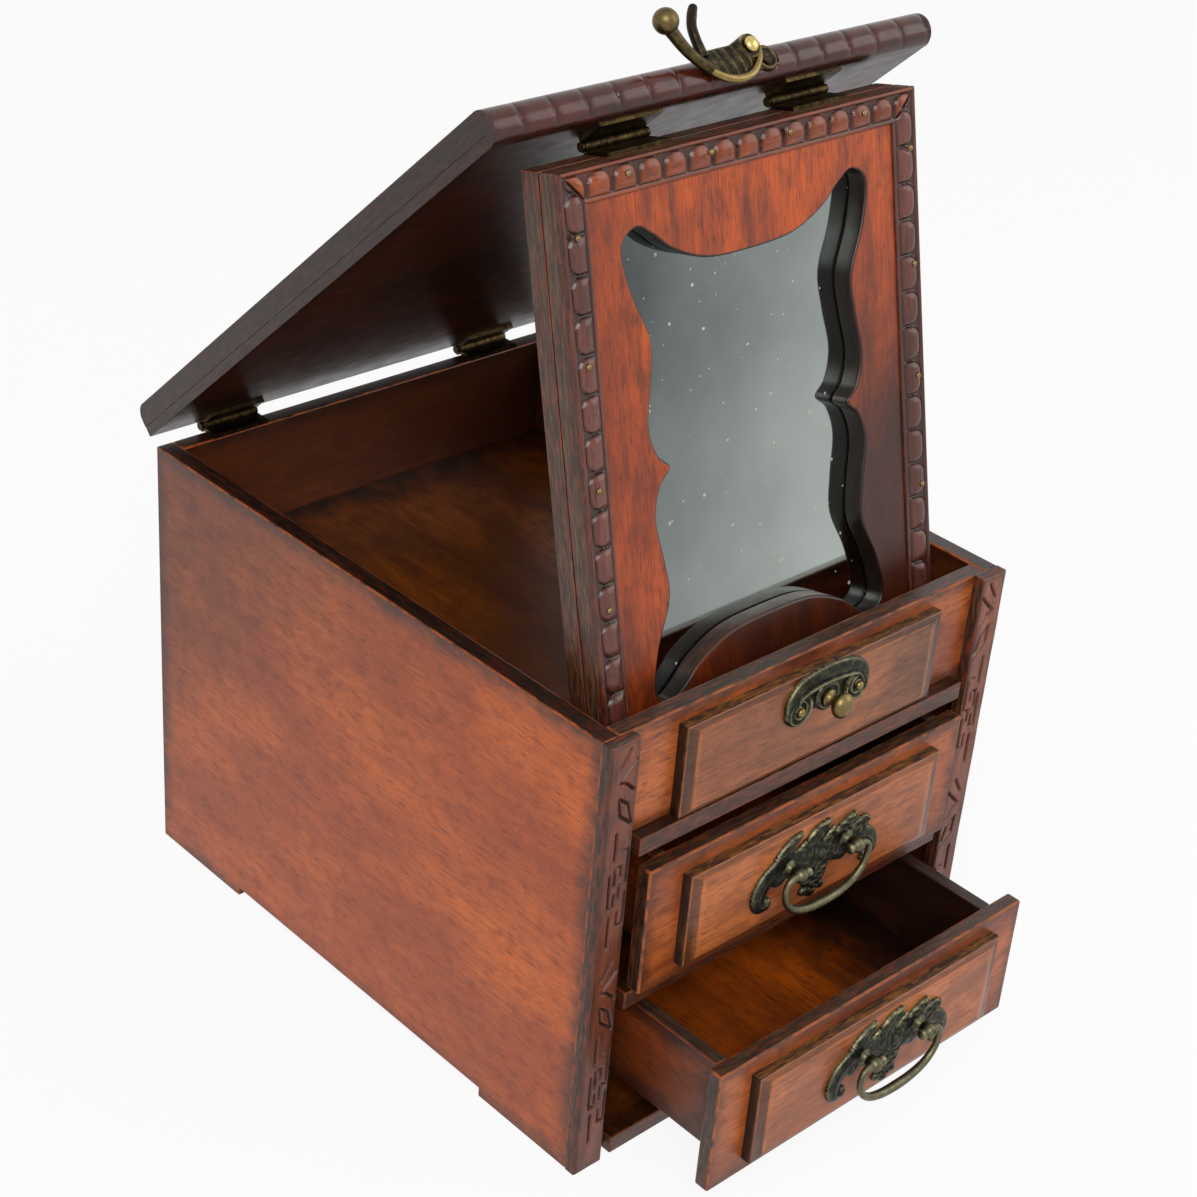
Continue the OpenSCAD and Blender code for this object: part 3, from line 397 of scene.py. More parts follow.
# %% Finish a piece
def piece(name, mesh, material, node):
    mesh.materials.clear()
    mesh.materials.append(material)
    made = new_object(name, mesh)
    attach(made, body_of(node))
    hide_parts(node)
    print(f"{name}: {len(mesh.polygons)} faces on {body_of(node)}")


def store(mesh, name, values):
    """Stores one number or one vector for each point of a mesh."""
    values = np.asarray(values, np.float32)
    kind, field = ("FLOAT_VECTOR", "vector") if values.ndim == 2 else ("FLOAT", "value")
    mesh.attributes.new(name, kind, "POINT").data.foreach_set(field, values.ravel())


def give_grain(mesh, node, along):
    """Stores what the wood looks at: X along the fibres, Z through the thickness. The
    node's name shifts the figure, so that no two boards look alike."""
    turn = np.array(turn_of(node))
    points = np.array([v.co for v in mesh.vertices]) @ turn
    low, high = points.min(0), points.max(0)
    first = "xyz".index(along)
    order = [first] + sorted((i for i in range(3) if i != first), key=lambda i: low[i] - high[i])
    own = (points - (low + high) / 2)[:, order]
    shift = sum(ord(letter) * (i + 3) for i, letter in enumerate(node)) * 0.0137 % 1.0
    store(mesh, "own", own)
    store(mesh, "half", np.repeat([(high - low)[order] / 2], len(points), 0))
    outward = np.sign((low + high)[order[2]]) * turn[:, order[2]]
    store(mesh, "thin", np.repeat([outward], len(points), 0))
    store(mesh, "grain", own + [shift, 1.7 * shift % 1.0, 0.3])


def mesh_of(name, points, faces):
    mesh = bpy.data.meshes.new(name)
    mesh.from_pydata([tuple(p) for p in points], [], [tuple(f) for f in faces])
    work = bmesh.new()
    work.from_mesh(mesh)
    bmesh.ops.recalc_face_normals(work, faces=work.faces)
    work.to_mesh(mesh)
    work.free()
    return mesh


def smooth(mesh, angle=40):
    mesh.shade_smooth()
    mesh.set_sharp_from_angle(angle=math.radians(angle))

    return mesh


def ring_faces(rings, sides):
    """The faces between rings of points, one ring after another, and over both ends."""
    faces = [(sides * ring + k, sides * ring + (k + 1) % sides, sides * (ring + 1) + (k + 1) % sides,
              sides * (ring + 1) + k) for ring in range(rings - 1) for k in range(sides)]
    last = (rings - 1) * sides
    return faces + [tuple(range(sides - 1, -1, -1)), tuple(range(last, last + sides))]


# %% [markdown]
# ## Boards
#
# Most of the box is flat boards, sawn square and sanded. A sanded board has no sharp
# edge: each one is rounded by about half a millimetre, and that thin line of light is
# what tells the eye that it is wood. So each solid's mesh is copied with its notches
# and holes, its flat faces are joined up again, and its long edges are rounded. The
# rounding is marked as `rub` and lightened: partly the wear of handling
# and partly a painted highlight along the edge. The edges of screw holes are short, and
# they stay as they are.

# %% Copy a solid and round its edges
LONG_EDGE = 2.5 * MM


def board(node, along, material, arris=0.5):
    mesh = frame["nodes"][node].data.copy()
    work = bmesh.new()
    work.from_mesh(mesh)
    bmesh.ops.remove_doubles(work, verts=work.verts, dist=0.005 * MM)
    bmesh.ops.dissolve_limit(work, angle_limit=math.radians(1), verts=work.verts, edges=work.edges)
    rims = [e for e in work.edges if len(e.link_faces) == 2 and e.calc_length() > LONG_EDGE
            and e.calc_face_angle(0) > math.radians(25)]
    # the rounded faces are lightened later: partly wear and partly a painted highlight
    worn = work.faces.layers.float.new("rub")
    made = bmesh.ops.bevel(work, geom=rims, offset=arris * MM, segments=2, profile=0.5,
                           affect="EDGES", clamp_overlap=True)
    for face in made["faces"]:
        face[worn] = 1.0
    work.to_mesh(mesh)
    work.free()
    for name in [a.name for a in mesh.attributes if a.domain == "CORNER" and a.name[0] != "."]:
        mesh.attributes.remove(mesh.attributes[name])
    give_grain(mesh, node, along)
    piece(node + "_board", mesh, material, node)


# %% The case
for side in ("left", "right"):
    board(side + "_side_panel", "y", case_wood)
board("back_panel", "x", case_wood)
for name in ("bottom_board", "divider_board"):
    board(name, "x", tray_wood)
board("tray_floor", "y", tray_wood, 0.3)
board("front_panel", "x", front_wood)
for name in ("lower_runners", "upper_runners"):
    board(name, "y", drawer_wood_in_painted_shade, 0.4)

# %% The drawers' boards
for drawer in ("lower_drawer", "upper_drawer"):
    board(drawer + "_front", "x", front_wood, 0.6)
    board(drawer + "_left_side", "y", drawer_side_wood, 0.4)
    board(drawer + "_right_side", "y", drawer_wood_in_painted_shade, 0.4)
    board(drawer + "_back", "x", drawer_wood_in_painted_shade, 0.4)
    board(drawer + "_bottom", "y", inner_wood, 0.2)

# %% The lid's boards and the back of the mirror frame
board("lid_top_board", "x", lid_wood, 0.6)
board("lid_under_board", "x", lid_wood, 0.4)
board("frame_side_rails", "y", frame_wood, 0.12)
board("frame_cross_rails", "x", frame_wood, 0.12)
board("mirror_backing", "y", inner_wood, 0.2)
board("mirror_glass", "y", silvered, 0.3)

# %% [markdown]
# ## Raised fields
#
# A raised field is a small board, glued on, with a low slope planed round its face,
# wide at the two ends and narrow along the top and bottom. The wall and the slope are
# darker than the flat, partly a darker stain and partly painted shade, so the top,
# which faces the light, is kept lighter. Where slope and flat meet, a thin orange line
# is a painted highlight. The shape is a stack of rings: up the wall, over a rounded
# edge, up the slope and onto the flat. The dark wall and slope are stored as
# `cut` and the light lines, painted highlights, as `rub`.

# %% Raised fields
# Each ring: its share of the slope's width, its height, how dark it is with stain and painted shade, and how
# much painted highlight and wear it gets
FIELD_RINGS = [(0, 0, 1, 0), (0, 0.4, 1, 0), (0, 2.7, 0.9, 0), (0.03, 3.2, 0.6, 0.1), (0.1, 3.4, 0.2, 0.6),
               (0.18, 3.5, 0.75, 0), (0.5, 3.72, 0.8, 0), (0.86, 4.05, 0.7, 0), (0.95, 4.2, 0.1, 0.9),
               (1.1, 4.29, 0, 0.9), (1.35, 4.3, 0, 0), (2.2, 4.3, 0, 0)]
SLOPE_SIDE, SLOPE_TOP, WALL_RINGS = 4.2, 2.0, 4
# How dark the wall and the slope are on the bottom, right, top and left: dark stain and painted shade,
# lighter on the top, which faces the light
WALL_STAIN_AND_SHADE, SLOPE_STAIN_AND_SHADE = (1, 0.8, 0.2, 1), (0.7, 0.6, 0.5, 0.95)


def raised_field(node, material):
    low, high = own_box(node)
    points, worn = [], []
    for share, height, _, shine in FIELD_RINGS:
        side, top = share * SLOPE_SIDE * MM, share * SLOPE_TOP * MM
        x0, x1, z0, z1 = low[0] + side, high[0] - side, low[2] + top, high[2] - top
        y = high[1] - height * MM
        points += [(x0, y, z0), (x1, y, z0), (x1, y, z1), (x0, y, z1)]
        worn += [shine] * 4
    rings = len(FIELD_RINGS)
    mesh = mesh_of(node, points, ring_faces(rings, 4))
    give_grain(mesh, node, "x")
    store(mesh, "rub", worn)
    dark = mesh.attributes.new("cut", "FLOAT", "CORNER").data
    for index, face in enumerate(mesh.polygons):
        ring, side = divmod(index, 4)
        side_stain_and_shade = WALL_STAIN_AND_SHADE if ring < WALL_RINGS else SLOPE_STAIN_AND_SHADE
        for loop in face.loop_indices:
            shade = FIELD_RINGS[mesh.loops[loop].vertex_index // 4][2]
            dark[loop].value = shade * side_stain_and_shade[side] if ring < rings - 1 else 0
    piece(node + "_panel", smooth(mesh, 25), material, node)


raised_field("front_field", field_wood_with_painted_shade)
raised_field("lower_drawer_field", field_wood)
raised_field("upper_drawer_field", field_wood)

# %% [markdown]

# ## Sheets of relief
#
# Carving, beads and castings are all a surface that rises and falls over a flat back.
# Here each one is a grid of points with a height worked out at every point, closed by
# a wall round its rim and a flat back. The finest detail sets the spacing of the grid.


# %% Close grids of points over their backs
def squares(grid):
    """The four corners of every square of a grid."""
    return np.stack([grid[:-1, :-1], grid[1:, :-1], grid[1:, 1:], grid[:-1, 1:]], -1)


def relief(name, node, parts, along, material, sharp, rim_dark=0.0):
    """One piece from several grids. A part is a grid of points, the same points let down
    to its flat back, and how dark each point is."""
    points, faces, dark = np.zeros((0, 3)), [], []
    for grid, flat, shade in parts:
        number = np.arange(shade.size).reshape(shade.shape)
        rim = np.concatenate([number[:, 0], number[-1, 1:], number[-2::-1, -1], number[0, -2:0:-1]])
        under = shade.size + np.arange(len(rim))
        walls = np.stack([rim, under, np.roll(under, -1), np.roll(rim, -1)], -1)
        sheet = np.concatenate([squares(number).reshape(-1, 4), walls])
        faces += (sheet + len(points)).tolist() + [(under + len(points)).tolist()]
        points = np.concatenate([points, grid.reshape(-1, 3), flat.reshape(-1, 3)[rim]])
        dark += shade.ravel().tolist() + [rim_dark] * len(rim)
    mesh = mesh_of(node, points, faces)
    give_grain(mesh, node, along)
    store(mesh, "cut", dark)
    piece(name, smooth(mesh, sharp), material, node)


def cushion(share):
    """A round flank: 0 at the foot, and 1 from where share reaches 1."""
    return np.sqrt(1 - (1 - np.clip(share, 0, 1)) ** 2)


# %% [markdown]
# ## Carved strips
#
# The two strips at the corners are carved by hand, with the same motif twice down
# their height: three slanting strokes, a leaf with a dark outline, and a key pattern of
# upright lines with hooks. A stroke of the chisel is a groove with sloping sides, about
# a millimetre wide. The strokes are listed in millimetres from the outer edge and from
# the top, and the depth at a point comes from its distance to the nearest stroke.

# %% Strokes of the carving
MOTIF_PITCH = 70.0
STROKES = [
    [(6.9, 2.4), (3.8, 7.7)],
    [(9.4, 6.6), (4.6, 11.6)],
    [(3.9, 12.2), (6.5, 13.2), (9.4, 16.2)],
    [(4.2, 17.4), (7.6, 20.0), (9.5, 27.2)],
    [(4.2, 17.4), (5.0, 23.0), (9.5, 27.2)],
    [(4.4, 28.5), (4.4, 37.6)],
    [(7.0, 35.2), (9.4, 35.2), (9.4, 46.6), (7.2, 46.6), (7.2, 51.0)],
    [(5.0, 46.0), (5.0, 40.2), (7.2, 40.2), (7.2, 43.6)],
    [(3.4, 42.0), (3.4, 53.2), (5.4, 53.2), (5.4, 49.0)],
    [(9.4, 49.6), (9.4, 60.0), (7.2, 60.0), (7.2, 55.6)],
    [(4.4, 56.4), (4.4, 66.6)],
]


def from_line(across, down, start, end):
    """The distance from each point to a straight stroke."""
    run = np.subtract(end, start)
    share = ((across - start[0]) * run[0] + (down - start[1]) * run[1]) / (run @ run)
    share = np.clip(share, 0, 1)
    return np.hypot(across - start[0] - share * run[0], down - start[1] - share * run[1])


def carving(across, down):
    nearest = np.full(across.shape, 9.0)
    for copy in (0, 1):
        for stroke in STROKES:
            for start, end in zip(stroke, stroke[1:]):
                place = down - copy * MOTIF_PITCH
                nearest = np.minimum(nearest, from_line(across, place, start, end))
    return np.clip(1 - nearest / 0.62, 0, 1) ** 0.8


def carved_strip(node, outer):
    """outer is -1 where the strip's outer edge is on the left and 1 where it is on the right."""
    low, high = own_box(node)
    width, height = (high - low)[[0, 2]] / MM
    across, down = np.meshgrid(np.linspace(0, width, 44), np.linspace(0, height, 500), indexing="ij")
    depth = carving(across, down)
    wavy = 0.12 * np.sin(down * 0.21 + across * 0.9) * np.sin(down * 0.083)
    edge = np.minimum(np.minimum(across, width - across), np.minimum(down, height - down))
    fall = 1.1 * depth + 0.15 + wavy * 0.6 + 0.6 * np.clip(1 - edge / 0.7, 0, 1) ** 2
    x = low[0] + across * MM if outer < 0 else high[0] - across * MM
    grid = np.stack([x, low[1] + fall * MM, high[2] - down * MM], -1)
    flat = grid.copy()
    flat[..., 1] = high[1]
    # the grooves darken with their depth: dark stain and painted shade
    relief(node + "_carving", node, [(grid, flat, depth)], "z", strip_wood, 60)


carved_strip("left_carved_strip", -1)
carved_strip("right_carved_strip", 1)

# %% [markdown]
# ## Beaded mouldings
#
# The mirror frame is edged with a moulding of low cushions, each with a round top and a
# straight foot, cut out of a flat rod. An outer lip and a small step at the glass frame
# them. The four lengths meet in mitres. A profile swept along a line would give a plain
# rod, so the height follows from how far inside a cushion a point lies. The gaps between
# the cushions, the step at the glass and the mitred ends are stored as
# `cut` and darkened: partly dark stain and partly painted shade.

# %% The beads
BEAD_TOP, BEAD_FOOT, BEAD_RISE, BEAD_ARCH, BEAD_FLANK = 1.3, 7.7, 1.7, 3.4, 2.4
# How high the base stands at some distances from the outer edge
BASE_AT = [0, 0.3, 0.8, 1.2, 7.6, 8.0, 8.8, 9.0]
BASE = [1.2, 1.6, 1.65, 0.9, 0.5, 0.9, 0.8, 0.5]
INSETS = np.concatenate([np.linspace(0, 1.6, 6), np.linspace(1.8, 7.3, 19), np.linspace(7.5, 9, 6)])

low, high = own_box("frame_side_mouldings")
frame_w, frame_len = (high - low)[:2] / MM
frame_turn = np.array(FRAME_TURN)
rightward, upward, toward = frame_turn.T
face_z = own_box("scalloped_board")[1][2]


def beaded_edge(x, y, run, inward, length, count, phase, groove):
    """One length of frame moulding. It starts at its outer corner x, y, runs along run,
    and inward points at the glass."""
    pitch = length / count
    place = np.linspace(0, 1, int(length / 0.3))[:, None] * (length - 2 * INSETS) + INSETS
    inset = INSETS + 0 * place
    off = np.abs((place / pitch + phase) % 1 - 0.5) * pitch
    half = pitch / 2 - groove / 2
    away = np.hypot(np.clip(off - half + BEAD_ARCH, 0, None), np.clip(BEAD_TOP + BEAD_ARCH - inset, 0, None))
    end = np.minimum(place - inset, length - inset - place)
    inside = np.minimum.reduce([half - off, BEAD_ARCH - away, BEAD_FOOT - inset, end - 0.3])
    crown = np.clip((inset - BEAD_TOP) / (BEAD_FOOT - BEAD_TOP), 0, 1)
    crown = 0.55 + 0.45 * np.sin(math.pi * crown) ** 0.7
    base = np.interp(inset, BASE_AT, BASE) * (1 - 0.25 * np.clip(inside, 0, 1))
    height = np.minimum(base + BEAD_RISE * cushion(inside / BEAD_FLANK) * crown, 2.5)[..., None]
    flat = frame_turn @ (x, y, face_z) + MM * (place[..., None] * run + inset[..., None] * inward)
    # darker in the gaps and arches between cushions, at the step by the glass and at the mitres: dark stain
    # and painted shade
    dark = np.clip(1 - np.abs(inside) / 0.55, 0, 1) + 0.8 * ((inside < 0) & (inset > 1.1) & (inset < 7.9))
    dark = dark + 0.6 * (inset > 8.7) + np.clip(1 - end / 0.4, 0, 1)
    return flat + MM * height * toward, flat, np.clip(dark, 0, 1)


EDGES = {
    "frame_top_moulding": [(low[0], high[1], rightward, -upward, frame_w, 15, 0, 1.3)],
    "frame_bottom_moulding": [(high[0], low[1], -rightward, upward, frame_w, 15, 0, 1.3)],
    "frame_side_mouldings": [(low[0], low[1], upward, rightward, frame_len, 16, 0.55, 0.7),
                             (high[0], high[1], -upward, -rightward, frame_len, 16, 0.45, 0.7)],
}
for node, lengths in EDGES.items():
    along, finish = ("y", side_bead_wood_painted_sheen) if "side" in node else ("x", bead_wood)
    relief(node + "_beads", node, [beaded_edge(*length) for length in lengths], along, finish,
           50, 0.5)

# %% [markdown]
# ## The scalloped board
#
# A fretsaw cut the opening, and a rasp rounded its edge. The outline is a handful of
# points with a smooth line through them, the same for all four quarters. A flat curve
# with a hole, filled and bevelled, is the quickest way to such a board, and it gives
# the round edge for free.

# %% Scalloped board
QUARTER = [(0, 51.4), (16, 52.3), (28, 56.8), (35.5, 62.4), (41, 65), (46, 60.5),
           (43.6, 48.5), (38.4, 36), (39.2, 25), (41.3, 13), (39, 4.5), (34.7, 0)]
OPENING_DROP = 1.5
SAW_ROUND = 0.8 * MM


def through(knots, steps, closed=False):
    """A smooth line through knots. An open line ends on its last knot."""
    knots = [np.array(knot, float) for knot in knots]
    last = len(knots) - 1
    line = []
    for i in range(last + 1 if closed else last):
        b, c = knots[i], knots[(i + 1) % (last + 1)]
        a = knots[i - 1] if i or closed else 2 * b - c
        d = knots[(i + 2) % (last + 1)] if closed else knots[min(i + 2, last)]
        for t in np.arange(steps) / steps:
            line.append((2 * b + (c - a) * t + (2 * a - 5 * b + 4 * c - d) * t * t
                         + (3 * b - a - 3 * c + d) * t ** 3) / 2)
    return line if closed else line + [knots[-1]]


def flat_board(name, outlines, thick):
    """A filled curve of closed outlines, bevelled on both faces, as a mesh."""
    curve = bpy.data.curves.new(name, "CURVE")
    curve.dimensions = "2D"
    curve.fill_mode = "BOTH"
    curve.extrude = thick / 2 - SAW_ROUND
    curve.bevel_depth = SAW_ROUND
    curve.bevel_resolution = 3
    curve.offset = -SAW_ROUND
    for outline in outlines:
        spline = curve.splines.new("POLY")
        spline.points.add(len(outline) - 1)
        spline.points.foreach_set("co", [n for x, y in outline for n in (x, y, 0, 1)])
        spline.use_cyclic_u = True
    drawn = new_object(name, curve)
    bpy.context.view_layer.update()
    mesh = bpy.data.meshes.new_from_object(drawn.evaluated_get(bpy.context.evaluated_depsgraph_get()))
    bpy.data.objects.remove(drawn)
    return mesh


low, high = own_box("scalloped_board")
right_half = QUARTER + [(x, -y) for x, y in QUARTER[-2::-1]]
whole = right_half + [(-x, y) for x, y in right_half[-2:0:-1]]
opening = [(x * MM, (y - OPENING_DROP) * MM) for x, y in through(whole, 6, closed=True)]
w, h = (high - low)[:2] / 2
outer = [(-w, -h), (w, -h), (w, h), (-w, h)]
mesh = flat_board("scalloped_board", [outer, opening], high[2] - low[2])
mesh.transform(FRAME_TURN.to_4x4() @ Matrix.Translation(Vector((low + high) / 2)))
give_grain(mesh, "scalloped_board", "y")
place = np.array([v.co for v in mesh.vertices]) @ frame_turn - (low + high) / 2
away = np.abs(place)
on_face = away[:, 2] > (high[2] - low[2]) / 2 - 0.02 * MM
on_rim = (away[:, 0] > w - 1 * MM) | (away[:, 1] > h - 1 * MM)
on_lobe = (away[:, 0] < 33 * MM) & (place[:, 1] < -40 * MM)
# the cut edge of the opening darkens: dark stain, with painted shade that keeps the side walls darker than
# the upward edge of the lower lobe
store(mesh, "cut", np.where(on_face | on_rim, 0.0, np.where(on_lobe, 0.5, 0.95)))
piece("scalloped_board_fretwork", smooth(mesh, 30), frame_wood, "scalloped_board")

# %% [markdown]
# ## The lid's front moulding
#
# The front of the lid is a half-round rod, pinched at even steps, so that it reads as a
# row of pillows. The plate of the hook is let into a flat that was cut across it.

# %% Lid moulding
LID_BEADS, PINCH, SLANT = 15, 2.4, 1.6
low, high = own_box("lid_front_moulding")
plate_low, plate_high = own_box("hook_plate")
radius = (high[2] - low[2]) / 2 / MM
length = (high[0] - low[0]) / MM
pitch = length / LID_BEADS
angle = np.radians(np.linspace(-90, 90, 25))[None, :]
place = np.linspace(0, length, int(length / 0.4))[:, None]
bead = (place + SLANT * np.cos(angle)) / pitch
pillow = cushion(np.abs(bead - np.round(bead)) * pitch / PINCH)
y = high[1] - radius * (0.87 + 0.13 * pillow * np.cos(angle) ** 0.5) * np.cos(angle) * MM
x = low[0] + place * MM + 0 * y
z = (low[2] + high[2]) / 2 + radius * np.sin(angle) * MM + 0 * y
on_flat = (x > plate_low[0] - 0.6 * MM) & (x < plate_high[0] + 0.6 * MM)
y = np.where(on_flat, np.maximum(y, plate_high[1]), y)
grid, flat = (np.stack([x, depth, z], -1) @ np.array(LID_TURN).T for depth in (y, np.full_like(y, high[1])))
# the pinches between the pillows darken, most on the front: painted shade in the creases
dark = (1 - pillow) ** 2 * np.cos(angle) ** 0.5
relief("lid_front_beads", "lid_front_moulding", [(grid, flat, dark)], "x", rim_wood, 50)

# %% [markdown]
# ## Cast reliefs
#
# The plates are cast in sand from a carved pattern: leaves and scrolls that overlap,
# each one fat in the middle and thin at its rim. A leaf here is a curved spine with a
# width that grows and shrinks, and its height is round across, with a groove down the
# vein. Many leaves are laid over one another, and the highest one wins. The grid is
# kept only where there is a leaf, and the points on its rim are moved onto the outline,
# so the edge is clean and not a staircase.


# %% Leaves and plates
def spine_places(across, height, knots):
    """For each point: how far along the spine it lies, from 0 to 1, and the signed distance."""
    line = np.array(through(knots, 8))
    gaps = np.hypot(across[..., None] - line[:, 0], height[..., None] - line[:, 1])
    nearest = gaps.argmin(-1)
    way = np.gradient(line, axis=0)[nearest]
    off = np.stack([across, height], -1) - line[nearest]
    side = np.sign(way[..., 0] * off[..., 1] - way[..., 1] * off[..., 0])
    return nearest / (len(line) - 1), gaps.min(-1) * side


def round_back(share):
    """1 in the middle of a round back and 0 at its edge, where share is 1."""
    return np.sqrt(np.clip(1 - share ** 2, 0, 1))


def leaf(across, height, knots, widths, rise, vein=0.45, ribs=0.0):
    """How far inside a leaf each point is, and the leaf's height there, in millimetres."""
    along, off = spine_places(across, height, knots)
    width = np.interp(along, np.linspace(0, 1, len(widths)), widths)
    tall = rise * (0.35 + 0.65 * round_back(off / width)) - vein * np.exp(-(off / 0.4) ** 2)
    tall += ribs * np.cos(2 * math.pi * (along * 4 + np.abs(off) / width * 0.7))
    return width - np.abs(off), tall


def boss(across, height, x, z, radius, rise):
    """The same for a round boss."""
    away = np.hypot(across - x, height - z)
    return radius - away, rise * round_back(away / radius)


def out_of(x, y, z, turn=SQUARE):
    """Gives the place of a point that lies so many millimetres across, up and out of a
    face, counted from a point x, y, z on it."""
    turn = np.array(turn)
    return lambda across, height, out: turn @ (x + across * MM, y - out * MM, z + height * MM)


def cast_plate(name, node, reach, step, leaves, thick, place, material):
    """leaves(across, height) gives pairs of inside and height, as leaf does."""
    (left, bottom), (right_end, top) = reach
    across, height = np.meshgrid(np.arange(left, right_end, step), np.arange(bottom, top, step),
                                 indexing="ij")
    inside, tall = np.full(across.shape, -9.0), np.zeros(across.shape)
    for part_inside, part_tall in leaves(across, height):
        tall = np.where(part_inside > 0, np.maximum(tall, part_tall), tall)
        inside = np.maximum(inside, part_inside)

    cell = squares(inside).sum(-1) > 0
    corners = np.zeros(inside.shape, int)
    for dx in (0, 1):
        for dy in (0, 1):
            corners[dx:inside.shape[0] - 1 + dx, dy:inside.shape[1] - 1 + dy] += cell
    touched = corners > 0
    on_edge = touched & (corners < 4)
    slope = np.stack(np.gradient(inside, step), -1)
    steep = np.clip((slope ** 2).sum(-1), 0.15, None)
    shift = np.clip(inside / steep, -0.7 * step, 0.7 * step)[..., None] * slope
    shift = np.where((on_edge & (np.abs(inside) < 1.2 * step))[..., None], shift, 0)
    across, height = across - shift[..., 0], height - shift[..., 1]
    surface = thick + tall * np.where(on_edge, 0.25, 1.0)

    count = touched.sum()
    number = -np.ones(inside.shape, int)
    number[touched] = np.arange(count)
    quads = squares(number)[cell]
    front = np.stack([across[touched], height[touched], surface[touched]], -1)
    edges = {(a, b): True for quad in quads.tolist() for a, b in zip(quad, quad[1:] + quad[:1])}
    walls = [(a, b, b + count, a + count) for a, b in edges if (b, a) not in edges]
    faces = quads.tolist() + (quads[:, ::-1] + count).tolist() + walls
    soft = tall.copy()
    for _ in range(int(1.2 / step)):
        soft = (np.roll(soft, 1, 0) + np.roll(soft, -1, 0) + np.roll(soft, 1, 1) + np.roll(soft, -1, 1)) / 4
    proud = np.clip((tall - soft) * 1.8, 0, 1)[touched]
    mesh = mesh_of(name, [place(*p) for p in np.concatenate([front, front * (1, 1, 0)])], faces)
    store(mesh, "rub", np.concatenate([proud, 0.35 + 0 * proud]))
    piece(name, smooth(mesh, 55), material, node)


# %% [markdown]
# ## Turned and drawn metal
#
# Knobs, posts and rivets are turned on a lathe, so each one is a profile spun about its
# axis. The bails and the arms of the hook are rods that taper, so they are rings of
# points along a smooth line, each with its own radius.


# %% Lathe and rod
def spokes(one, two, sides):
    """Even directions all round, in the plane of two directions."""
    return [one * math.cos(t) + two * math.sin(t) for t in (2 * math.pi * k / sides for k in range(sides))]


def lathe(profile, centre, axis, sides=28):
    """Spins (distance along the axis, radius) pairs, in millimetres, about the axis."""
    axis = Vector(axis).normalized()
    one = axis.orthogonal().normalized()
    ways = spokes(one, axis.cross(one), sides)
    points = [Vector(centre) + (axis * along + way * max(radius, 0.01)) * MM
              for along, radius in profile for way in ways]
    return points, ring_faces(len(profile), sides)


def rod(knots, radii, place, steps=6, sides=14):
    """A tapering round rod through knots (x, up, out), in millimetres."""
    line = [Vector(p) for p in through(knots, steps)]
    size = np.interp(np.linspace(0, 1, len(line)), np.linspace(0, 1, len(radii)), radii)
    points, side = [], None
    for i, centre in enumerate(line):
        way = (line[min(i + 1, len(line) - 1)] - line[max(i - 1, 0)]).normalized()
        side = way.orthogonal() if side is None else side - way * side.dot(way)
        side.normalize()
        ring = (centre + spoke * size[i] for spoke in spokes(side, way.cross(side), sides))
        points += [Vector(place(*point)) for point in ring]
    return points, ring_faces(len(line), sides)


def dome(base, rise, radius, first=0, step=15):
    """The profile of a domed head. first is the angle where it starts, below 0 for a ball."""
    return [(base + rise * math.sin(t), radius * math.cos(t)) for t in np.radians(range(first, 91, step))]


def turned(name, node, parts, rubs, material=hook_bronze):
    """Several shapes as one piece, each with its own share of rubbed metal."""
    points, faces, shine = [], [], []
    for (part_points, part_faces), rub in zip(parts, rubs):
        faces += [tuple(i + len(points) for i in face) for face in part_faces]
        points += part_points
        shine += [rub] * len(part_points)
    mesh = mesh_of(name, points, faces)
    store(mesh, "rub", shine)
    piece(name, smooth(mesh, 50), material, node)


# %% [markdown]
# ## The drawer pulls
#
# Each pull is a leafy plate, two posts through the drawer front with a nut inside, and
# a bail that swings in the posts' eyes. The plate's leaves rise in crests above the
# posts, a long scroll droops at either end, and a shell hangs in the middle.

# %% Pull plates
# Each leaf: the knots of its spine, its half widths from root to tip, rise, vein and ribs
PULL_LEAVES = [
    ([(-4, -2), (-12, 1.6), (-19.5, -0.6), (-23, -5), (-22.6, -9.2), (-19.6, -10)],
     [3.4, 3.6, 3.2, 2.9, 2.4, 1.8], 1.1, -0.25),
    ([(-15.5, -2), (-14.5, 3.4), (-11.4, 7.4), (-7.4, 9.9)], [3.4, 3.4, 2.2, 0.4], 1.2, 0.4, 0.1),
    ([(-9, -2), (-7, 2.4), (-5.4, 5.6)], [3.4, 2.6, 0.6], 1.0, 0.3, 0.1),
    ([(-2, -3), (-2.2, 3.0), (0, 6.6), (4.0, 9.6)], [3.6, 3.6, 3.0, 0.5], 1.3, 0.4, 0.12),
    ([(3, -3), (4.5, 1.6), (6.6, 5.6)], [3.4, 3.2, 0.8], 1.0, 0.35, 0.1),
    ([(8, -3), (10, 2), (12.6, 4.6), (15.4, 6.8)], [3.4, 3.4, 2.6, 1.0], 1.2, 0.4, 0.12),
    ([(11, -4), (16, -0.4), (19.6, 2.2), (21.8, 2.6)], [3.4, 3.4, 2.6, 1.0], 1.1, 0.35, 0.1),
    ([(12, -3), (19.5, -2.6), (23.8, -5.4), (24.6, -9), (22.2, -11.4)],
     [3.4, 3.3, 3.0, 2.4, 1.6], 1.1, -0.25),
    ([(0, -2), (0, -8), (-0.2, -13.4)], [6.2, 5.6, 2.4], 0.9, -0.2, 0.22),
]
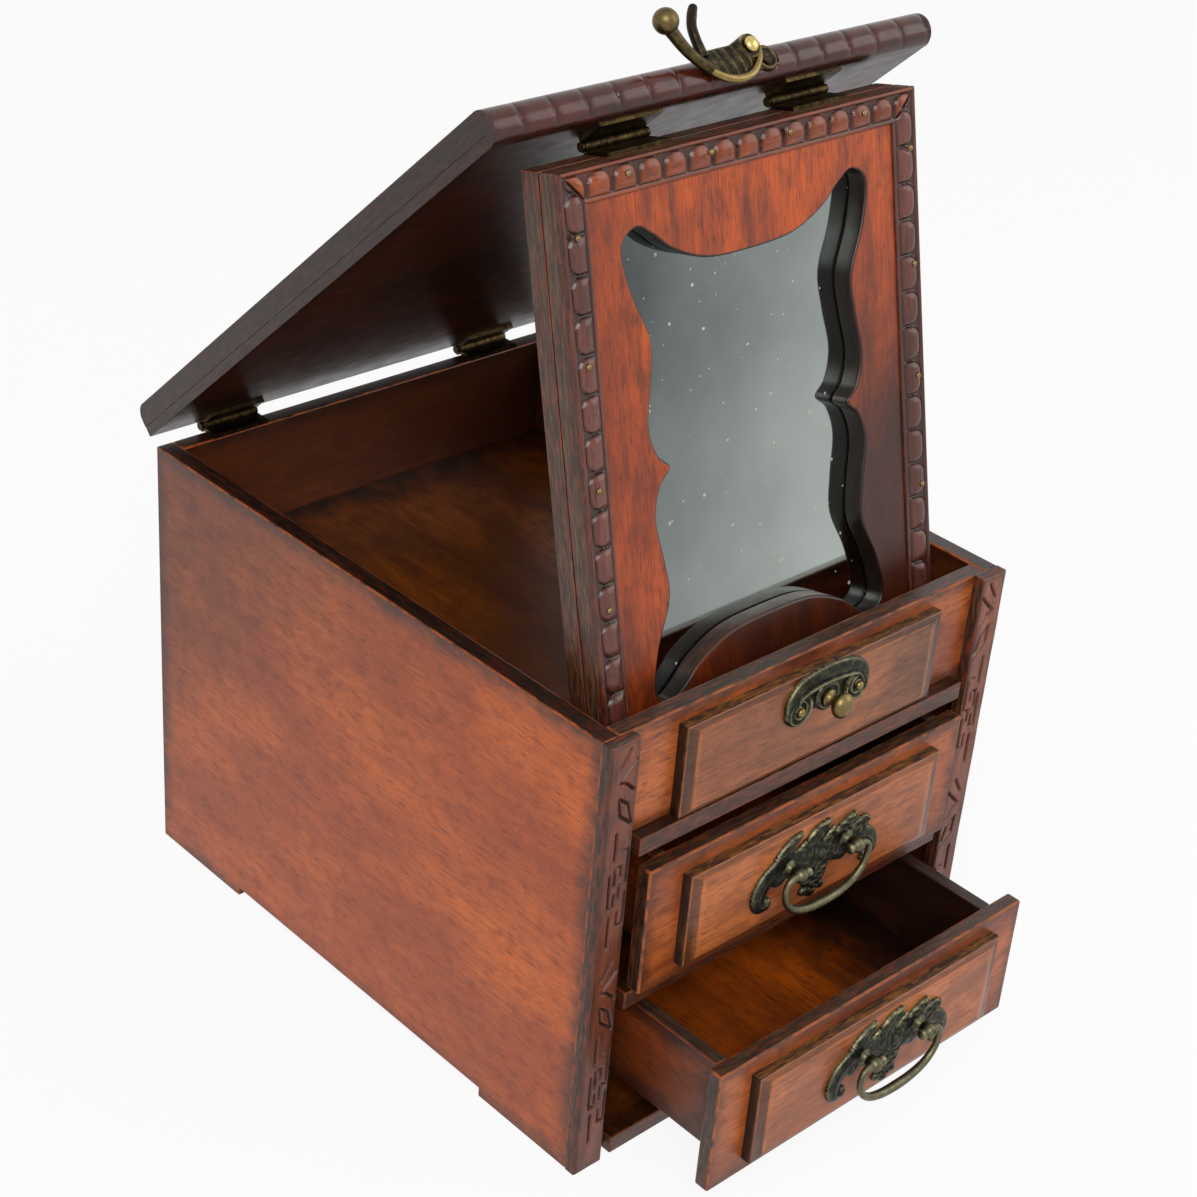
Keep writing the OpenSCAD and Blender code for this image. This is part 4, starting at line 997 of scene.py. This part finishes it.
# Each boss: its place across and up, its radius and its rise
PULL_BOSSES = [(-19.6, -9.4, 1.9, 1.5), (22.6, -10.4, 1.7, 1.4), (1.6, -0.8, 2.2, 2.0), (-12, 0, 2.9, 1.3),
               (12, 0, 2.9, 1.3), (-3.6, -12.6, 1.6, 1.1), (3.4, -12.8, 1.6, 1.1), (0, -14, 1.5, 1.1)]
POST_AT, COLLAR_AT, EYE_R = 12, 9.6, 2.3
NUT = [(0, 0), (0, 2.9), (0.3, 3.2), (1.7, 3.2), (2.0, 2.9), (2.0, 1.6), (2.8, 1.5), (3.0, 0)]
COLLAR = [(0, 0), (0, 1.3), (0.3, 1.65), (1.1, 1.65), (1.4, 1.3), (1.4, 0)]
# One half of the bail, from its eye to its middle: across, up and radius
HALF_BAIL = [(8.8, 0, 1.35), (12, 0, 1.35), (14.8, -0.1, 1.15), (16.9, -1.6, 1.0), (17.4, -4.6, 1.0),
             (16.2, -8.4, 1.1), (12.6, -11.9, 1.25), (6.8, -13.9, 1.4), (0, -14.4, 1.5)]


def pull_leaves(across, height):
    return ([leaf(across, height, *shape) for shape in PULL_LEAVES]
            + [boss(across, height, *shape) for shape in PULL_BOSSES])


def pull(which):
    plate_y = own_box(which + "_pull_plate")[1][1]
    posts_low, posts_high = own_box(which + "_pull_posts")
    bail_low, bail_high = own_box(which + "_bail")
    middle = (posts_low[0] + posts_high[0]) / 2
    pivot_y, pivot_z = (bail_low[1] + bail_high[1]) / 2, bail_high[2] - 1.2 * MM
    on_plate, at_pivot = out_of(middle, plate_y, pivot_z), out_of(middle, pivot_y, pivot_z)
    in_drawer = out_of(middle, posts_high[1] - 2.4 * MM, pivot_z)
    cast_plate(which + "_pull_leaves", which + "_pull_plate", ((-28, -17), (28, 12)), 0.24, pull_leaves,
               0.5, on_plate, bronze)

    reach = (plate_y - pivot_y) / MM
    post = [(0, 3.0), (1.5, 2.8), (2.0, 1.9), (reach - 2.6, 1.6), (reach - 1.9, 2.1)]
    post += dome(reach, EYE_R, EYE_R, -55, 16)
    posts, collars = [], []
    for side in (-1, 1):
        posts.append(lathe(post, on_plate(side * POST_AT, 0, 0), (0, -1, 0)))
        posts.append(lathe(NUT, in_drawer(side * POST_AT, 0, 0), (0, 1, 0), 6))
        collars.append(lathe(COLLAR, at_pivot(side * COLLAR_AT, 0, 0), (-side, 0, 0), 16))
    turned(which + "_pull_posts_turned", which + "_pull_posts", posts, [0.25, 0.1] * 2, bronze)
    knots = [(-x, z, 0) for x, z, _ in HALF_BAIL] + [(x, z, 0) for x, z, _ in HALF_BAIL[-2::-1]]
    radii = [radius for _, _, radius in HALF_BAIL + HALF_BAIL[-2::-1]]
    turned(which + "_bail_drawn", which + "_bail", [rod(knots, radii, at_pivot)] + collars,
           [0.3, 0.45, 0.45], bronze)


pull("lower")
pull("upper")

# %% [markdown]
# ## The catch
#
# The catch is an arch of cast bronze with a scroll at either end. A stud with a round
# knob stands out of its middle, and the hook on the lid drops over that knob.

# %% Catch plate, pins and stud
SCROLL_AT, PIN_R, KNOB_R, KNOB_HALF = 12, 1.4, 3.9, 2.6
ARCH = [(-15.2, -1), (-14.4, 3.8), (-9.8, 7.4), (0, 8.4), (9.4, 7.0), (14.2, 3.6), (15, -1)]
ARCH_LINE = [(-14, 0.8), (-11.6, 4.0), (-6, 5.3), (0, 5.6), (6, 5.1), (11.6, 3.8), (14, 0.8)]


def catch_leaves(a, h):
    floor_plate = np.minimum(10 * (1 - np.hypot(a / 15.6, (h + 1) / 10.6)), h + 2.4)
    away = np.hypot(a, h - 0.6)
    parts = [(floor_plate, 0.1 + 0 * a),
             (4.8 - away, 0.5 + 0.6 * np.clip(1 - np.abs(away - 3.8), 0, 1)),
             leaf(a, h, ARCH, [1.8, 2.3, 2.6, 2.7, 2.6, 2.3, 1.8], 1.2, 0.0),
             leaf(a, h, ARCH_LINE, [0.6] * 7, 1.7, 0.0)]
    for side in (-1, 1):
        x = SCROLL_AT * side
        away = np.hypot(a - x, h + 0.2)
        wave = 0.5 + 0.5 * np.cos(2 * math.pi * away / 1.9 + np.arctan2(h + 0.2, (a - x) * side))
        parts.append((5.0 - away, 0.5 + 0.9 * wave * np.clip(away / 1.5, 0, 1)))
        parts.append(boss(a, h, x, -0.2, 1.3, 1.5))
    return parts


stud_low, stud_high = own_box("catch_stud")
catch_x, catch_z = ((stud_low + stud_high) / 2)[[0, 2]]
field_y = own_box("catch_plate")[1][1]
on_catch = out_of(catch_x, field_y, catch_z)
cast_plate("catch_plate_scrolls", "catch_plate", ((-20, -6.5), (20, 13.5)), 0.24, catch_leaves, 0.5,
           on_catch, bronze)
reach = (field_y - stud_low[1]) / MM
stud = [(0, 0), (0, 2.6), (1.8, 2.6), (2.4, 1.7), (reach - 5.6, 1.5)]
stud += dome(reach - KNOB_HALF, KNOB_HALF, KNOB_R, -66, 12)
turned("catch_stud_turned", "catch_stud", [lathe(stud, on_catch(0, 0, 0), (0, -1, 0))], [0.5])
pins = [lathe([(0, 0), (0, PIN_R)] + dome(1.4, 0.9, PIN_R), on_catch(SCROLL_AT * side, -0.2, 0.8),
              (0, -1, 0), 18) for side in (-1, 1)]
turned("catch_pins", "catch_screws", pins, [0.6, 0.6])

# %% [markdown]
# ## The hook
#
# The hook is the showpiece: a boat-shaped body with four flutes and a bright lower
# rim, a prong that stands up from its end, and a curved arm with a ball. It turns on a
# domed rivet in a small plate. The body is a relief, because it is flat behind, and
# the arm, the prong and the rim are rods that taper.

# %% Hook plate, rivet and hook
rivet_low, rivet_high = own_box("hook_rivet")
rivet_x, rivet_z = ((rivet_low + rivet_high) / 2)[[0, 2]]
plate_back = own_box("hook_plate")[1][1]
on_hook = out_of(rivet_x, own_box("hook")[1][1], rivet_z, LID_TURN)
on_hook_plate = out_of(rivet_x, plate_back, rivet_z, LID_TURN)


def boat(a, h):
    """The fluted body, from the rivet at 0 to its far end."""
    top = np.interp(a, [-19.5, -16, -6, -3, 0, 3.4], [0.8, 1.4, 1.6, 2.6, 3.5, 0.4])
    bottom = np.interp(a, [-19.5, -17, -13, -8, -3, 1, 3.4], [-1.6, -4.4, -7.2, -8.6, -7.6, -4.4, -0.4])
    inside = np.minimum.reduce([top - h, h - bottom, a + 19.4, 3.6 - a])
    flute = 0.28 * np.cos(2 * math.pi * (a + 0.25 * h) / 3.3)
    flute = flute * np.clip((a + 15) / 2, 0, 1) * np.clip(-a / 3, 0, 1)
    belly = 1.5 * np.sqrt(np.clip(inside / 4.4, 0, 1))
    return [(inside, 0.3 + belly + flute * np.clip(inside / 1.5, 0, 1)), (3.5 - np.hypot(a, h), 1.6 + 0 * a)]


cast_plate("hook_body", "hook", ((-21, -10), (5, 5)), 0.2, boat, 0.3, on_hook, hook_bronze)
# The rim, the arm and the prong: knots across, up and out, and radii
HOOK_RODS = [
    ([(-18.6, -2.0, 1.5), (-16.6, -4.6, 1.5), (-12.6, -7.2, 1.6), (-8, -8.2, 1.6), (-3, -7.4, 1.6),
      (1.4, -4.0, 1.5), (3.2, -1.0, 1.3)], [0.7, 1.0, 1.15, 1.2, 1.15, 0.9, 0.5]),
    ([(-16.6, -4.4, 1.6), (-20.0, -1.0, 1.8), (-22.6, 2.6, 2.0), (-24.6, 6.6, 2.4), (-26.2, 10.4, 3.0)],
     [1.5, 1.5, 1.6, 1.75, 2.2]),
    ([(-17.4, -0.6, 1.4), (-17.2, 4.0, 1.4), (-16.6, 8.0, 1.4), (-14.8, 11.2, 1.4), (-13.4, 13.0, 1.4)],
     [1.6, 1.4, 1.35, 1.4, 1.25]),
]
BALL_R, TIP_R = 3.5, 1.25
parts = [rod(knots, radii, on_hook) for knots, radii in HOOK_RODS]
start, ahead = Vector(on_hook(-24.6, 7.2, 3.2)), Vector(on_hook(-27.6, 13.0, 3.5))
parts.append(lathe(dome(BALL_R, BALL_R, BALL_R, -84, 12), start, ahead - start))
tip, behind = Vector(on_hook(-13.4, 13.0, 1.4)), Vector(on_hook(-14.8, 11.2, 1.4))
parts.append(lathe(dome(0, 1.1, TIP_R), tip, tip - behind, 14))
turned("hook_arms", "hook", parts, [0.65, 0.15, 0, 0.3, 0])


def hook_plate_leaves(a, h):
    band = np.minimum.reduce([a + 7.6, 6.1 - a, h + 6.4, -0.9 - h])
    parts = [(band, 0.2 + 0 * a)]
    for x, z, size in ((6.1, -3.5, 3.7), (-7.6, -4.0, 3.3), (0, -0.6, 3.6)):
        inside = size - np.hypot(a - x, h - z)
        parts.append((inside, 0.15 + 0.55 * np.exp(-((0.8 - inside) / 0.55) ** 2)))
    return parts


cast_plate("hook_plate_cast", "hook_plate", ((-12, -8.6), (11, 4)), 0.24, hook_plate_leaves, 0.6,
           on_hook_plate, hook_bronze)
neck = (plate_back - rivet_low[1]) / MM - 1.3
rivet = [(0, 0), (0, 1.2), (neck, 1.2), (neck, 2.2)] + dome(neck, 1.3, 2.2)
outward = on_hook_plate(0, 0, 1) - on_hook_plate(0, 0, 0)
turned("hook_rivet_domed", "hook_rivet", [lathe(rivet, on_hook_plate(0, 0, 0), outward)], [1.0], bright_brass)

# %% [markdown]
# ## Hinges, screws and brads
#
# Butt hinges of pressed brass and small countersunk screws have the right shape as
# solids already, so they stay and only get their metal. The heads of the brads along
# the mouldings catch the light, so they become small domes.

# %% Small hardware
for name, node in frame["nodes"].items():
    if "hinge" in name or "screws" in name:
        node.data.materials.clear()
        node.data.materials.append(hook_bronze if "screws" in name else brass)

BRAD_R = 0.85
outward = Vector(toward)
work = bmesh.new()
work.from_mesh(frame["nodes"]["frame_brads"].data)
bmesh.ops.remove_doubles(work, verts=work.verts, dist=0.01 * MM)
heads, loose = [], dict.fromkeys(work.verts)
while loose:
    island, stack = [], [loose.popitem()[0]]
    while stack:
        vertex = stack.pop()
        island.append(vertex.co)
        for edge in vertex.link_edges:
            other = edge.other_vert(vertex)
            if other in loose:
                del loose[other]
                stack.append(other)
    middle = sum(island, Vector()) / len(island)
    foot = middle + outward * (max((p - middle).dot(outward) for p in island) - 0.4 * MM)
    heads.append(lathe([(0, 0), (0, BRAD_R)] + dome(0.15, 0.45, BRAD_R), foot, outward, 12))
work.free()
turned("frame_brads_domed", "frame_brads", heads, [0.6] * len(heads))

# %% [markdown]
# ## Floor and light
#
# The box stands on white paper in a plain studio. A large soft lamp above the left and
# a weaker one on the right light it evenly. The camera and reflections see the paper
# nearly as bright as the world, so that the floor has no edge in the picture, while
# the light that falls on the box is softer.

# %% Floor, world and lamps
SEEN_GLOW, WORLD_LIGHT, LAMP_AIM = 0.9, 0.38, Vector((0, 0, 0.12))
floor_mesh = mesh_of("floor", [(-6, -6, 0), (6, -6, 0), (6, 6, 0), (-6, 6, 0)], [(0, 1, 2, 3)])
floor = new_object("floor", floor_mesh)
paper, n = new_material("paper_white_matt")
fleck = n.noise(n.add("TexCoord", {})["Object"], (40, 40, 40), 2, 0.5)
matt = n.surface({"Base Color": n.mix(fleck, linear("f6f6f4"), linear("fbfbfa")), "Roughness": 0.9})
glow = n.add("Emission", {"Color": [1, 1, 1, 1], "Strength": 1.0})
ray = n.add("LightPath", {})
seen = n.times(n.calc("ADD", ray["Is Camera Ray"], ray["Is Glossy Ray"], clamp=True), SEEN_GLOW)
blended = n.add("MixShader", {0: seen, 1: matt[0], 2: glow[0]})
n.feed(n.tree.nodes["Material Output"], {"Surface": blended[0]})
floor_mesh.materials.append(paper)

world = bpy.data.worlds.new("studio")
bpy.context.scene.world = world
world.use_nodes = True
n = Nodes(world.node_tree)
ray = n.add("LightPath", {})
seen = n.calc("ADD", ray["Is Glossy Ray"], ray["Is Transmission Ray"])
seen = n.calc("ADD", ray["Is Camera Ray"], seen, clamp=True)
strength = n.calc("MULTIPLY_ADD", seen, 1 - WORLD_LIGHT, WORLD_LIGHT)
n.feed(n.tree.nodes["Background"], {"Strength": strength, "Color": [1, 1, 1, 1]})


def lamp(name, place, size, watts):
    data = bpy.data.lights.new(name, "AREA")
    data.size = size
    data.energy = watts
    made = new_object(name, data)
    made.location = place
    made.rotation_euler = (LAMP_AIM - Vector(place)).to_track_quat("-Z", "Y").to_euler()


lamp("key_lamp", (-1.1, -1.2, 1.5), 1.1, 25)
lamp("fill_lamp", (1.3, -1.0, 1.0), 1.2, 8)
bpy.context.scene.view_settings.view_transform = "Standard"
print("lamps lit")
